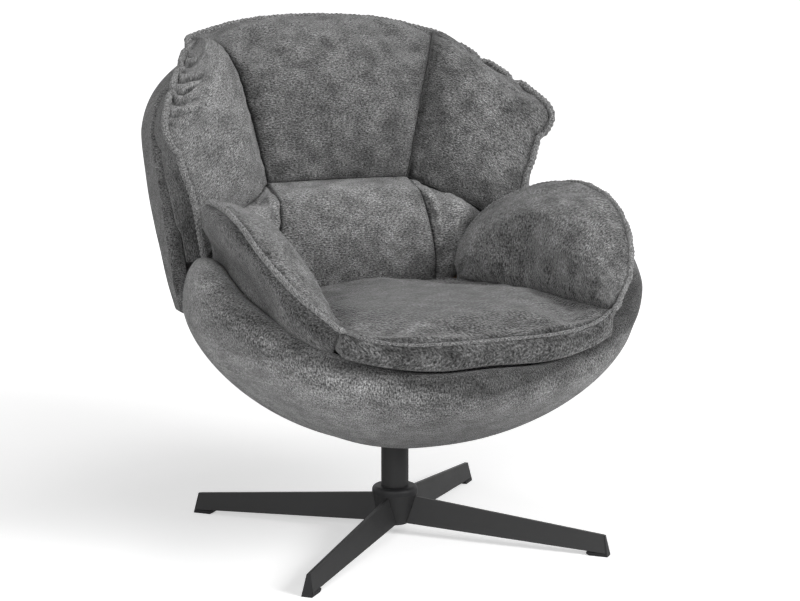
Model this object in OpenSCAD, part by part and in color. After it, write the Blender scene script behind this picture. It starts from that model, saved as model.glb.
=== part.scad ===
// Swivel lounge chair: petal cushions nested in a padded tub, on a four-legged steel star base.
// Millimetres. The origin is on the floor under the swivel axis, +Z is up, the sitter faces -Y.

/* [Star base] */
// Distance from the swivel axis to the end of a foot
foot_reach = 390; // [330:5:430]
// Height of a leg's ridge at the hub
leg_root_z = 75; // [66:1:84]
// Height of a leg's ridge at its tip
leg_tip_z = 36; // [30:1:44]
// Depth of a leg at the hub
leg_root_h = 50; // [40:1:54]
// Depth of a leg at its tip
leg_tip_h = 30; // [22:1:32]
// Width of a leg along its lower edges at the hub
leg_root_w = 26; // [20:1:32]
// Width of a leg along its lower edges at the tip
leg_tip_w = 19; // [16:1:24]
// Width of the flat ridge on top of a leg
leg_ridge_w = 6; // [4:0.5:10]
// Thickness of the leg's pressed steel
leg_wall = 2; // [1.5:0.1:3]
// Length of the glide under a foot
glide_len = 38; // [28:1:50]
// Lean of the foot's end plate, measured along the leg
foot_rake = 7; // [2:1:12]

/* [Hub and column] */
// Outer diameter of the column
column_d = 48; // [40:1:56]
// Wall of the column tube
column_wall = 2; // [1.5:0.1:3]
// Height of the column's top end above the floor
column_top = 190; // [187:1:194]
// Diameter of the hub where the legs join, at its top
hub_top_d = 80; // [72:1:92]
// Diameter of the hub at its lower end
hub_low_d = 56; // [50:1:66]
// Height of the hub's lower end above the floor
hub_low_z = 20; // [14:1:26]
// Height of the plastic collar on the hub
collar_h = 13; // [8:1:20]
// Diameter of the spindle
spindle_d = 28; // [22:1:32]
// Running gap round the spindle, on the radius
run_gap = 0.05; // [0.03:0.01:0.1]
// Length of a bush in the column
bush_len = 24; // [16:1:32]
// Height of the thrust bearing
bearing_h = 7; // [6:0.5:9]
// Number of balls in the thrust bearing
ball_count = 14; // [8:1:18]

/* [Swivel plate] */
// Side of the swivel plate
plate_w = 124; // [118:1:128]
// Thickness of the swivel plate
plate_t = 6; // [5:0.5:7]
// Spacing of the four mounting bolts
bolt_pitch = 92; // [84:1:96]
// Diameter of a mounting bolt
bolt_d = 8; // [6:1:10]
// Thickness of the mounting disc in the floor of the tub
disc_t = 8; // [6:0.5:10]
// Diameter of the mounting disc
disc_d = 180; // [172:1:184]
// Thickness of the plywood frame boards
ply_t = 18; // [15:1:21]

/* [Tub] */
// Overall width of the tub
tub_w = 818; // [800:2:830]
// Distance from the tub's centre line to its front
tub_front = 294; // [286:1:302]
// Distance from the tub's centre line to its back
tub_back = 412; // [404:1:420]
// Distance of the tub's centre line in front of the swivel axis
tub_forward = 110; // [104:1:116]
// Height of the tub's underside at the column
tub_low = 167; // [163:1:171]
// Height at which the sides of the tub are widest
tub_waist = 442; // [434:1:450]
// Height of the rim at the front
rim_front = 361; // [356:1:368]
// Height of the rim beside the sitter
rim_side = 513; // [495:1:530]
// Height of the rim at the back, inside the back shell
rim_back = 438; // [425:1:450]
// Width of the padded rim
rim_t = 46; // [42:1:50]
// Thickness of the padding outside the moulded tub
pad_t = 20; // [16:1:24]
// Thickness of the moulded tub
shell_t = 8; // [6:0.5:10]
// Radius of the hole for the column in the padding
hole_r = 30; // [29:1:36]

/* [Back] */
// Height of the top of the back shell
back_top = 872; // [840:1:900]
// Width of the back shell
back_w = 740; // [730:2:750]
// Height of the hem of the back shell
back_hem = 372; // [362:1:384]
// Distance from the swivel axis to the back shell at its hem
back_reach = 328; // [324:1:336]
// Rearward slope of the back shell, as a share of height
back_slope = 0.17; // [0.15:0.01:0.19]
// Thickness of the padded back shell
back_t = 29; // [24:1:34]
// Thickness of the curved plywood panel in the back
panel_t = 9; // [7:0.5:12]

/* [Seat cushion] */
// Height of the front seam at the middle
seat_z = 415; // [410:1:420]
// Distance from the swivel axis to the front seam
seat_front = 385; // [380:1:390]
// Distance from the front seam to the crease with the back
seat_depth = 552; // [544:1:558]
// Width of the cushion at the back crease
seat_rear_w = 364; // [350:1:372]
// Width of the cushion between its front corners
seat_front_w = 470; // [456:1:478]
// Rise of the front corners over the middle of the front seam
corner_rise = 24; // [12:1:30]
// Rise of the crown over the seams
seat_crown = 24; // [14:1:32]
// Top of the plywood deck that carries the cushion
deck_top = 327; // [321:1:330]

/* [Arm pads] */
// Height of the top seam of an arm pad
arm_top = 608; // [590:1:624]
// Distance between the outer seams of the arm pads
arm_span = 748; // [740:1:756]
// Swell of the inner face of an arm pad
arm_crown = 56; // [40:1:64]
// Bulge of the band under the outer seam
band_bulge = 9; // [4:0.5:11]

/* [Back cushions] */
// Height of the seam on top of the headrest
head_top = 893; // [870:1:910]
// Height of the crease between the lumbar and headrest cushions
crease_z = 598; // [585:1:610]
// Width of the lumbar cushion at the crease
crease_w = 276; // [262:2:290]
// Width of the headrest between its top corners
head_w = 486; // [470:2:500]
// Width across the outer corners of the wings
wing_span = 740; // [720:2:748]
// Height of a wing's outer corner
wing_z = 720; // [700:1:735]
// Swell of the headrest cushion
head_crown = 24; // [12:1:32]
// Swell of a wing cushion
wing_crown = 24; // [12:1:30]
// Swell of the lumbar cushion
lumbar_crown = 20; // [10:1:28]

/* [Hidden] */
// Clearance between neighbouring soft solids, and the air left round rigid ones
soft_gap = 0.4;
// Gap filled by weld, glue or staples between parts of one body
seat_gap = 0.2;
// Facets round a large and a small diameter
fine = 36;
few = 16;

steel_black = [0.09, 0.09, 0.095];
plastic_black = [0.13, 0.13, 0.135];
zinc = [0.62, 0.63, 0.64];
birch = [0.76, 0.62, 0.44];
strap = [0.2, 0.2, 0.22];
plush = [0.36, 0.36, 0.365];
plush_shade = [0.31, 0.31, 0.315];

// Small vector helpers
function mix(a, b, t) = a + (b - a) * t;
function unit(v) = v / max(norm(v), 0.000001);
function clamp(x, low, high) = max(low, min(high, x));
function smooth(low, high, x) = let (t = clamp((x - low) / (high - low), 0, 1)) t * t * (3 - 2 * t);
function spow(x, p) = sign(x) * pow(abs(x), p);
function mirror_x(p) = [-p[0], p[1], p[2]];

// Point at x on a smooth curve through equally spaced control points, x from 0 to their number less one
function curve(c, x) =
    let (
        last = len(c) - 1,
        k = min(floor(x), last - 1),
        t = x - k,
        p1 = c[k],
        p2 = c[k + 1],
        p0 = k > 0 ? c[k - 1] : 2 * p1 - p2,
        p3 = k < last - 1 ? c[k + 2] : 2 * p2 - p1
    )
    0.5 * (2 * p1 + (p2 - p0) * t + (2 * p0 - 5 * p1 + 4 * p2 - p3) * t * t
        + (3 * p1 - p0 - 3 * p2 + p3) * t * t * t);
function along(c, t) = curve(c, t * (len(c) - 1));

// A grid is a list of rows, each a list of points. Seen from outside, rows go up and points go right.
// Coons patch between four edge curves given as control points
function patch(low, high, left, right, n, m) = [
    for (i = [0:n])
        let (v = i / n, a = along(left, v), b = along(right, v))
        [
            for (j = [0:m])
                let (u = j / m, c = along(low, u), d = along(high, u))
                mix(a, b, u) + mix(c, d, v)
                    - mix(mix(low[0], low[len(low) - 1], u), mix(high[0], high[len(high) - 1], u), v)
        ]
];

// Outward unit normal of a grid at row i, point j
function grid_normal(g, i, j) =
    let (
        n = len(g) - 1,
        m = len(g[0]) - 1,
        du = g[i][min(j + 1, m)] - g[i][max(j - 1, 0)],
        dv = g[min(i + 1, n)][j] - g[max(i - 1, 0)][j]
    )
    unit(cross(du, dv));

// Swell a grid by height h; the edges stay where they are, p sets how full the edges are
function crowned(g, h, pv, pu) =
    let (n = len(g) - 1, m = len(g[0]) - 1)
    [
        for (i = [0:n])
            [
                for (j = [0:m])
                    let (u = j / m, v = i / n)
                    g[i][j] + grid_normal(g, i, j) * h * pow(4 * u * (1 - u), pu) * pow(4 * v * (1 - v), pv)
            ]
    ];

// Row and point numbers round the border of a grid of n + 1 rows and m + 1 points
function border(n, m) = concat(
    [for (i = [0:n - 1]) [i, 0]],
    [for (j = [0:m - 1]) [n, j]],
    [for (i = [n:-1:1]) [i, m]],
    [for (j = [m:-1:1]) [0, j]]
);

// Ring half way between the borders of two grids, standing out by the bulges of the left, top, right
// and bottom edge
function bulged(front, back, bulges) =
    let (n = len(front) - 1, m = len(front[0]) - 1)
    [
        for (e = border(n, m))
            let (
                inner = front[clamp(e[0], 1, n - 1)][clamp(e[1], 1, m - 1)],
                rim = front[e[0]][e[1]],
                side = e[1] == 0 ? 0 : e[0] == n ? 1 : e[1] == m ? 2 : 3
            )
            (rim + back[e[0]][e[1]]) / 2 + unit(rim - inner) * bulges[side]
    ];

// Closed cushion from a front grid, a back grid of the same size and the rings between their borders
module cushion(front, back, rings) {
    n = len(front) - 1;
    m = len(front[0]) - 1;
    edge = border(n, m);
    count = len(edge);
    cells = (n + 1) * (m + 1);
    last = len(rings) + 1;
    function id(i, j) = i * (m + 1) + j;
    function front_id(k) = id(edge[k % count][0], edge[k % count][1]);
    function band_id(r, k) =
        r == 0 ? front_id(k) : r == last ? cells + front_id(k) : 2 * cells + (r - 1) * count + k % count;
    polyhedron(
        points = concat([for (r = front) each r], [for (r = back) each r], [for (r = rings) each r]),
        faces = concat(
            [
                for (i = [0:n - 1], j = [0:m - 1])
                    each [
                        [id(i, j), id(i + 1, j), id(i + 1, j + 1)],
                        [id(i, j), id(i + 1, j + 1), id(i, j + 1)],
                        [cells + id(i, j), cells + id(i + 1, j + 1), cells + id(i + 1, j)],
                        [cells + id(i, j), cells + id(i, j + 1), cells + id(i + 1, j + 1)]
                    ]
            ],
            [
                for (r = [0:last - 1], k = [0:count - 1])
                    each [
                        [band_id(r, k), band_id(r + 1, k + 1), band_id(r, k + 1)],
                        [band_id(r, k), band_id(r + 1, k), band_id(r + 1, k + 1)]
                    ]
            ]
        )
    );
}

// Closed ring from a loop of closed sections
module ring_loft(sections) {
    n = len(sections);
    m = len(sections[0]);
    polyhedron(
        points = [for (s = sections) each s],
        faces = [
            for (i = [0:n - 1], j = [0:m - 1])
                let (a = i * m, b = ((i + 1) % n) * m, k = (j + 1) % m)
                each [[a + j, b + k, b + j], [a + j, a + k, b + k]]
        ]
    );
}

// Star base

// Lower end of the hub bore, on which the column stands
hub_floor = hub_low_z + 10;
column_r = column_d / 2;
bore_r = column_r - column_wall;
spindle_r = spindle_d / 2;
foot_angles = [225, 315, 135, 45];

// Outer radius of the hub at height z
function hub_r(z) = mix(hub_low_d, hub_top_d, (z - hub_low_z) / (leg_root_z - hub_low_z)) / 2;

module base_hub() {
    chamfer = 5;
    color(steel_black)
    rotate_extrude($fn = fine)
    polygon([
        [6, hub_low_z],
        [hub_low_d / 2 - chamfer, hub_low_z],
        [hub_low_d / 2, hub_low_z + chamfer],
        [hub_top_d / 2, leg_root_z],
        [column_r, leg_root_z],
        [column_r, hub_floor],
        [6, hub_floor]
    ]);
}

// Tapered bar along +X with a trapezoid section, grown by g on every side and open below by drop
module leg_bar(g, drop, reach, rake) {
    root_x = 20;
    function ridge_z(x) = mix(leg_root_z, leg_tip_z, x / foot_reach);
    function depth(x) = mix(leg_root_h, leg_tip_h, x / foot_reach);
    function low_w(x) = mix(leg_root_w, leg_tip_w, x / foot_reach);
    function section(x, lean) = [
        [x - lean, -leg_ridge_w / 2 - g, ridge_z(x) + g],
        [x - lean, leg_ridge_w / 2 + g, ridge_z(x) + g],
        [x, low_w(x) / 2 + g, ridge_z(x) - depth(x) - drop],
        [x, -low_w(x) / 2 - g, ridge_z(x) - depth(x) - drop]
    ];
    polyhedron(
        points = concat(section(root_x, 0), section(reach, rake)),
        faces = [
            [0, 3, 2], [0, 2, 1], [4, 5, 6], [4, 6, 7],
            [0, 1, 5], [0, 5, 4], [1, 2, 6], [1, 6, 5],
            [2, 3, 7], [2, 7, 6], [3, 0, 4], [3, 4, 7]
        ]
    );
}

end_plate_t = 3;
tip_low_z = leg_tip_z - leg_tip_h;
leg_rake = foot_rake * leg_tip_h / leg_tip_z;
leg_end = foot_reach - end_plate_t - (foot_rake - leg_rake);

module leg(angle) {
    color(steel_black)
    rotate([0, 0, angle])
    difference() {
        leg_bar(0, 0, leg_end, leg_rake);
        leg_bar(-leg_wall, leg_wall, leg_end + 2 * leg_wall, leg_rake);
        rotate_extrude($fn = fine)
        polygon([
            [0, 0],
            [hub_r(0) + seat_gap, 0],
            [hub_r(leg_root_z + 5) + seat_gap, leg_root_z + 5],
            [0, leg_root_z + 5]
        ]);
    }
}

module foot(angle) {
    pad_top = tip_low_z - seat_gap;
    inner_x = foot_reach - end_plate_t;
    color(plastic_black)
    rotate([0, 0, angle])
    union() {
        // end plate
        polyhedron(
            points = [
                for (x = [inner_x + seat_gap, foot_reach])
                    each [
                        [x - foot_rake, -leg_ridge_w / 2, leg_tip_z],
                        [x - foot_rake, leg_ridge_w / 2, leg_tip_z],
                        [x, leg_tip_w / 2, 0],
                        [x, -leg_tip_w / 2, 0]
                    ]
            ],
            faces = [
                [0, 3, 2], [0, 2, 1], [4, 5, 6], [4, 6, 7],
                [0, 1, 5], [0, 5, 4], [1, 2, 6], [1, 6, 5],
                [2, 3, 7], [2, 7, 6], [3, 0, 4], [3, 4, 7]
            ]
        );
        // glide under the leg, cut back below
        translate([0, leg_tip_w / 2, 0])
        rotate([90, 0, 0])
        linear_extrude(leg_tip_w)
        polygon([
            [inner_x + 1, 0],
            [foot_reach - glide_len + 5, 0],
            [foot_reach - glide_len, 3],
            [foot_reach - glide_len, pad_top],
            [inner_x, pad_top]
        ]);
    }
}

module base_column() {
    color(steel_black)
    translate([0, 0, hub_floor])
    difference() {
        cylinder(r = column_r, h = column_top - hub_floor, $fn = fine);
        translate([0, 0, -1])
        cylinder(r = bore_r, h = column_top - hub_floor + 2, $fn = fine);
    }
}

module hub_collar() {
    round_r = collar_h * 0.55;
    color(plastic_black)
    translate([0, 0, leg_root_z])
    rotate_extrude($fn = fine)
    polygon(concat(
        [[column_r + seat_gap, 0], [hub_top_d / 2, 0]],
        [
            for (a = [0:15:90])
                [hub_top_d / 2 - round_r * (1 - cos(a)), collar_h - round_r * (1 - sin(a))]
        ],
        [[column_r + seat_gap, collar_h]]
    ));
}

flange_t = 3;
clip_t = 1.5;
washer_t = 2.5;
lower_bush_z = hub_floor + 16;
washer_z = lower_bush_z - washer_t - seat_gap;
clip_z = washer_z - clip_t - seat_gap;
spindle_low = clip_z - 5;
race_t = 2;

module bush(z, len) {
    translate([0, 0, z])
    difference() {
        cylinder(r = bore_r, h = len, $fn = fine);
        translate([0, 0, -1])
        cylinder(r = spindle_r + run_gap, h = len + 2, $fn = fine);
    }
}

module lower_bush() {
    color(plastic_black)
    bush(lower_bush_z, bush_len);
}

module upper_bush() {
    color(plastic_black)
    union() {
        bush(column_top - bush_len, bush_len);
        translate([0, 0, column_top])
        difference() {
            cylinder(r = column_r, h = flange_t, $fn = fine);
            translate([0, 0, -1])
            cylinder(r = spindle_r + run_gap, h = flange_t + 2, $fn = fine);
        }
    }
}

bearing_z = column_top + flange_t;
bearing_r = column_r + 4;
ball_track_r = (bearing_r + spindle_r) / 2;
ball_gap = 0.05;
ball_r = (bearing_h - 2 * race_t) / 2 - ball_gap;

module race(z) {
    color(zinc)
    translate([0, 0, z])
    difference() {
        cylinder(r = bearing_r, h = race_t, $fn = fine);
        translate([0, 0, -1])
        cylinder(r = spindle_r + 0.5, h = race_t + 2, $fn = fine);
    }
}

module bearing_balls() {
    cage_t = ball_r * 0.6;
    middle = bearing_z + bearing_h / 2;
    color(zinc)
    union() {
        translate([0, 0, middle - cage_t / 2])
        difference() {
            cylinder(r = ball_track_r + ball_r, h = cage_t, $fn = fine);
            translate([0, 0, -1])
            cylinder(r = ball_track_r - ball_r, h = cage_t + 2, $fn = fine);
        }
        for (k = [0:ball_count - 1])
            rotate([0, 0, k * 360 / ball_count])
            translate([ball_track_r, 0, middle])
            sphere(r = ball_r, $fn = 8);
    }
}

plate_z = bearing_z + bearing_h;
plate_top = plate_z + plate_t;
groove_r = spindle_r - 1.2;

module spindle() {
    chamfer = 1.5;
    color(zinc)
    rotate_extrude($fn = fine)
    polygon([
        [0, spindle_low],
        [spindle_r - chamfer, spindle_low],
        [spindle_r, spindle_low + chamfer],
        [spindle_r, clip_z - run_gap],
        [groove_r, clip_z - run_gap],
        [groove_r, clip_z + clip_t + run_gap],
        [spindle_r, clip_z + clip_t + run_gap],
        [spindle_r, plate_top],
        [0, plate_top]
    ]);
}

module retaining_washer() {
    color(zinc)
    translate([0, 0, washer_z])
    difference() {
        cylinder(r = bore_r - 1.5, h = washer_t, $fn = fine);
        translate([0, 0, -1])
        cylinder(r = spindle_r + run_gap, h = washer_t + 2, $fn = fine);
    }
}

module retaining_clip() {
    color(zinc)
    translate([0, 0, clip_z])
    difference() {
        cylinder(r = spindle_r + 3.5, h = clip_t, $fn = fine);
        translate([0, 0, -1])
        cylinder(r = groove_r + run_gap, h = clip_t + 2, $fn = fine);
        translate([0, -5, -1])
        cube([spindle_r + 6, 10, clip_t + 2]);
    }
}

module at_bolts() {
    for (x = [-1, 1], y = [-1, 1])
        translate([x * bolt_pitch / 2, y * bolt_pitch / 2, 0])
        children();
}

bolt_hole_r = bolt_d / 2 + 0.3;
head_h = 4.5;
tee_barrel_r = bolt_d / 2 + 1.6;
tee_flange_r = bolt_d / 2 + 7;
tee_flange_t = 1.5;
disc_z = plate_top;
board_z = disc_z + disc_t;
board_top = board_z + ply_t;

module swivel_plate() {
    corner = 18;
    straight = plate_w - 2 * corner;
    color(steel_black)
    difference() {
        translate([0, 0, plate_z])
        linear_extrude(plate_t)
        union() {
            square([plate_w, straight], center = true);
            square([straight, plate_w], center = true);
            for (x = [-1, 1], y = [-1, 1])
                translate([x * straight / 2, y * straight / 2])
                    circle(r = corner, $fn = 32);
        }
        translate([0, 0, plate_z - 1])
        cylinder(r = spindle_r, h = plate_t + 2, $fn = fine);
        at_bolts()
        translate([0, 0, plate_z - 1])
        cylinder(r = bolt_hole_r, h = plate_t + 2, $fn = few);
    }
}

module plate_bolts() {
    color(zinc)
    at_bolts()
    rotate_extrude($fn = few)
    polygon([
        [0, plate_z - head_h],
        [bolt_d * 0.5, plate_z - head_h],
        [bolt_d * 0.875, plate_z - head_h * 0.45],
        [bolt_d * 0.875, plate_z],
        [bolt_d / 2, plate_z],
        [bolt_d / 2, board_top],
        [0, board_top]
    ]);
}

module tee_nuts() {
    color(zinc)
    at_bolts()
    rotate_extrude($fn = few)
    polygon([
        [bolt_d / 2 + run_gap, board_z + 4],
        [tee_barrel_r, board_z + 4],
        [tee_barrel_r, board_top],
        [tee_flange_r, board_top],
        [tee_flange_r, board_top + tee_flange_t],
        [bolt_d / 2 + run_gap, board_top + tee_flange_t]
    ]);
}

module mounting_disc() {
    color(birch)
    translate([0, 0, disc_z])
    difference() {
        cylinder(d = disc_d, h = disc_t, $fn = fine);
        at_bolts()
        translate([0, 0, -1])
        cylinder(r = bolt_hole_r, h = disc_t + 2, $fn = few);
    }
}

// Tub

// Fullness of the tub in plan and of its wall in section
plan_power = 1.7;
wall_power = 1.59;
rear_fill = 0.14;
tub_turns = 40;

// Turn measured from the front, the same on both sides
function side_turn(t) = let (a = abs(t)) a > 180 ? 360 - a : a;

// Point of the tub's widest outline, moved in by off; turn t is 0 at the front and 90 at +X.
// The two rear corners, under the back shell, are a little fuller.
function plan(t, off) =
    let (a = side_turn(t), full = 1 + rear_fill * smooth(115, 148, a) * (1 - smooth(148, 182, a)))
    full * [
        (tub_w / 2 - off) * spow(sin(t), 2 / plan_power),
        -tub_forward - ((cos(t) > 0 ? tub_front : tub_back) - off) * spow(cos(t), 2 / plan_power)
    ];

// Turn of the tub's outline nearest a point
function turn_of(p) =
    let (dy = p[1] + tub_forward)
    atan2(
        spow(p[0] / (tub_w / 2), plan_power / 2),
        spow(-dy / (dy < 0 ? tub_front : tub_back), plan_power / 2)
    );

// Point p drawn in, where needed, to stay inside the widest outline less off
function tucked(p, off) =
    let (
        dy = p[1] + tub_forward,
        share_x = abs(p[0]) / (tub_w / 2 - off),
        share_y = abs(dy) / ((dy < 0 ? tub_front : tub_back) - off),
        k = max(1, pow(pow(share_x, plan_power) + pow(share_y, plan_power), 1 / plan_power))
    )
    [p[0] / k, -tub_forward + dy / k, p[2]];

// Height of the rim's crest at turn t
function rim_z(t) =
    along(
        [
            rim_front,
            rim_front,
            mix(rim_front, rim_side, 0.24),
            mix(rim_front, rim_side, 0.64),
            rim_side,
            mix(rim_back, rim_side, 0.64),
            mix(rim_back, rim_side, 0.23),
            rim_back,
            rim_back
        ],
        side_turn(t) / 180
    );
function waist_z(t) = min(tub_waist, rim_z(t) - 32);

// Point on the wall below the waist: q is 0 at the bottom and 1 at the waist
function wall(t, q, off, low) =
    let (p = plan(t, off), g = pow(sin(90 * q), 2 / wall_power))
    [p[0] * g, p[1] * g, mix(waist_z(t), low, pow(cos(90 * q), 2 / wall_power))];

// Plan point at turn t moved in by off, at height z above the waist
function lip(t, off, z) = let (p = plan(t, off)) [p[0], p[1], z];

// Front of the widest outline less off, straight in front of x
function front_at(x, off) =
    let (share = clamp(abs(x) / (tub_w / 2 - off), 0, 1))
    -tub_forward - (tub_front - off) * pow(1 - pow(share, plan_power), 1 / plan_power);

// As tucked, but near the front corners of the seat drawn straight back
function tucked_back(p, off) =
    mix([p[0], max(p[1], front_at(p[0], off)), p[2]], tucked(p, off), smooth(290, 350, abs(p[0])));

// Radius of the wall's inner side in direction of a point of the plan, at height z below the waist
function wall_share(t, low, z) =
    pow(1 - pow(clamp((waist_z(t) - z) / (waist_z(t) - low), 0, 1), wall_power), 1 / wall_power);

tub_shell_off = pad_t + soft_gap;
tub_inner_off = tub_shell_off + shell_t;
shell_low = disc_z;
shell_inner_low = disc_z + disc_t;
slot_depth = 26;
pad_low = plate_z - head_h - 1;
// Radius of the flat floor inside the padding, under the plate and its bolts
floor_r = 80;

module tub_padding() {
    color(plush_shade)
    ring_loft([
        for (k = [0:tub_turns - 1])
            let (
                t = k * 360 / tub_turns,
                zr = rim_z(t),
                zw = waist_z(t),
                p = plan(t, 0),
                dir = unit(p)
            )
            concat(
                [[dir[0] * hole_r, dir[1] * hole_r, pad_low], [dir[0] * hole_r, dir[1] * hole_r, tub_low]],
                [for (q = [0.22, 0.36, 0.5, 0.62, 0.74, 0.86, 1]) wall(t, q, 0, tub_low)],
                [
                    for (a = [30, 60, 90, 120, 150])
                        lip(t, rim_t / 2 * (1 - cos(a)), mix(a > 90 ? zr - 28 : zw, zr, sin(a)))
                ],
                [lip(t, rim_t, zr - 28), lip(t, rim_t, zw)],
                [lip(t, tub_inner_off + soft_gap, zw)],
                [lip(t, tub_inner_off + soft_gap, zr - slot_depth)],
                [lip(t, pad_t, zr - slot_depth)],
                [for (q = [1, 0.8, 0.62, 0.44]) wall(t, q, pad_t, pad_low)],
                [[dir[0] * floor_r, dir[1] * floor_r, pad_low]]
            )
    ]);
}

module tub_shell() {
    color(birch)
    ring_loft([
        for (k = [0:tub_turns - 1])
            let (
                t = k * 360 / tub_turns,
                zr = rim_z(t) - slot_depth - soft_gap,
                dir = unit(plan(t, 0)),
                foot_r = disc_d / 2 + 1.5
            )
            concat(
                [[dir[0] * foot_r, dir[1] * foot_r, shell_low]],
                [for (q = [0.44, 0.62, 0.8, 1]) wall(t, q, tub_shell_off, shell_low)],
                [lip(t, tub_shell_off, zr), lip(t, tub_inner_off, zr)],
                [for (q = [1, 0.8, 0.62, 0.44]) wall(t, q, tub_inner_off, shell_inner_low)],
                [[dir[0] * foot_r, dir[1] * foot_r, shell_inner_low]]
            )
    ]);
}

deck_low = deck_top - ply_t;
opening_w = 320;
opening_l = 340;
opening_y = -85;
strap_w = 50;
strap_t = 1.5;

// Plan radius points of the moulded tub's inner side at height z
function inner_plan(z, gap) = [
    for (k = [0:tub_turns - 1])
        let (t = k * 360 / tub_turns, p = plan(t, tub_inner_off), s = wall_share(t, shell_inner_low, z))
        p * s * (1 - gap / norm(p))
];

module seat_deck() {
    color(birch)
    translate([0, 0, deck_low])
    linear_extrude(ply_t)
    difference() {
        polygon(inner_plan(deck_low, 8));
        translate([0, opening_y])
        square([opening_w, opening_l], center = true);
    }
}

module seat_webbing() {
    cross_pitch = opening_l / 5;
    long_pitch = opening_w / 4;
    color(strap)
    translate([0, 0, deck_top])
    union() {
        linear_extrude(strap_t)
        intersection() {
            polygon(inner_plan(deck_low, 20));
            union() {
                for (k = [0:4])
                    translate([0, opening_y + (k - 2) * cross_pitch])
                    square([opening_w + 60, strap_w], center = true);
            }
        }
        translate([0, 0, strap_t])
        linear_extrude(strap_t)
        intersection() {
            polygon(inner_plan(deck_low, 20));
            union() {
                for (k = [0:3])
                    translate([(k - 1.5) * long_pitch, opening_y])
                    square([strap_w, opening_l + 60], center = true);
            }
        }
    }
}

rib_side = 190;
rib_front = -285;
rib_rear = 150;
// Height of the ribs under the webbing, which needs room to give
rib_low = board_top + 24;
// Length of the slope at each end of the dip
rib_slope = 110;
// Height of the moulded tub's inner side over a point
function inner_height(x, y) =
    let (
        t = atan2(x / tub_w, -y / (2 * tub_front)),
        share = clamp(norm([x, y]) / norm(plan(t, tub_inner_off + 6)), 0, 0.98)
    )
    mix(waist_z(t), shell_inner_low, pow(1 - pow(share, wall_power), 1 / wall_power));

// Upright board from x0 to x1, its lower edge clear of the tub; it dips between x2 and x3
module rib(x0, x1, x2, x3, low_edge) {
    steps = len(low_edge) - 1;
    rotate([90, 0, 0])
    linear_extrude(ply_t, center = true)
    polygon(concat(
        [for (k = [0:steps]) [mix(x0, x1, k / steps), max(board_z + 3, low_edge[k] + 9)]],
        [
            [x1, deck_low], [x3, deck_low], [x3 - rib_slope, rib_low],
            [x2 + rib_slope, rib_low], [x2, deck_low], [x0, deck_low]
        ]
    ));
}

module rib_frame() {
    steps = 12;
    color(birch)
    union() {
        translate([0, 0, board_z])
        difference() {
            cylinder(d = disc_d - 4, h = ply_t, $fn = fine);
            at_bolts()
            translate([0, 0, -1])
            cylinder(r = tee_barrel_r + run_gap, h = ply_t + 2, $fn = few);
        }
        rib(
            -rib_side, rib_side, -opening_w / 2 - 6, opening_w / 2 + 6,
            [for (k = [0:steps]) inner_height(mix(-rib_side, rib_side, k / steps), ply_t)]
        );
        rotate([0, 0, 90])
        rib(
            rib_front, rib_rear, opening_y - opening_l / 2 - 6, opening_y + opening_l / 2 + 6,
            [for (k = [0:steps]) inner_height(ply_t, mix(rib_front, rib_rear, k / steps))]
        );
    }
}

// Back

back_power = 2.5;
back_turn = 640;
corner_k = 0.85;
// Length of the side flaps, and the share of the half width at which they begin
back_flap = 54;
flap_share = 0.875;
// Rise of the hem towards the front edges of the back shell
hem_rise = 24;
back_cols = 16;

// Outer face of the back shell on the centre line at height z
function back_y(z) = back_reach + back_slope * (z - back_hem);
// Half width of the back shell at height z, below the turn of its corners
function back_half(z) =
    back_w / 2 * along([0.9, 0.943, 0.954, 0.963, 0.981, 1], clamp((z - back_hem) / (700 - back_hem), 0, 1));
// Front edge of the back shell's sides at height z
function back_edge_y(z) = 147 + 101 * smooth(400, 600, z);
// How far the sides of the back shell reach forward of its bend, to meet the wings
function flap(z) = back_flap * smooth(400, 600, z) * (1 - smooth(600, 780, z));
// Thickness of the back shell, which thins out to its hem
function back_thick(z) = mix(9, back_t, smooth(back_hem, back_hem + 110, z));

// Point of the back shell: u runs across from -1 to 1, v up from -1 at the hem to 1 at the top
function back_point(u, v, inner) =
    let (
        turn = 90 * min(abs(u) / flap_share, 1),
        ahead = max(abs(u) - flap_share, 0) / (1 - flap_share),
        s = sign(u) * pow(sin(turn), 2 / back_power),
        c = 1 - pow(cos(turn), 2 / back_power),
        lift = max(v, 0),
        z = v < 0
            ? mix(back_turn, back_hem + hem_rise * pow(abs(s), 6), -v)
            : back_turn + (back_top - back_turn) * v * sqrt(1 - corner_k * s * s / 2),
        off = inner ? back_thick(z) : 0,
        half = (back_half(z) - off) * sqrt(1 - corner_k * pow(lift, 3) / 2),
        depth = (back_y(z) - back_edge_y(z)) * (1 - 0.55 * pow(lift, 2.5)) - off
    )
    [half * s, back_y(z) - off - depth * c - flap(z) * ahead, z - (inner ? 6 * lift : 0)];

module back_shell() {
    rows = [-1, -0.8, -0.6, -0.4, -0.2, 0, 0.2, 0.4, 0.6, 0.75, 0.88, 1];
    outer = [for (v = rows) [for (j = [0:back_cols]) back_point(1 - 2 * j / back_cols, v, false)]];
    inner = [for (v = rows) [for (j = [0:back_cols]) back_point(1 - 2 * j / back_cols, v, true)]];
    color(plush_shade)
    cushion(outer, inner, [bulged(outer, inner, [5, 5, 5, 3])]);
}

panel_bend = 175;
// Top of the panel, the height at which its corners begin to turn, and its half width low and high
panel_top = min(back_top - 26, head_top - 47);
panel_turn = panel_top - 206;
panel_foot = 135;
panel_shoulder = 290;
// Height over which the panel rises out of the tub
panel_rise = 190;
// Air between the panel and the soft parts round it, so that their facets stay apart
panel_gap = 3;
panel_rear_gap = 0.4;
REAR_RIM = [for (t = [180:-4:100]) plan(t, rim_t + panel_gap)];

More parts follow.
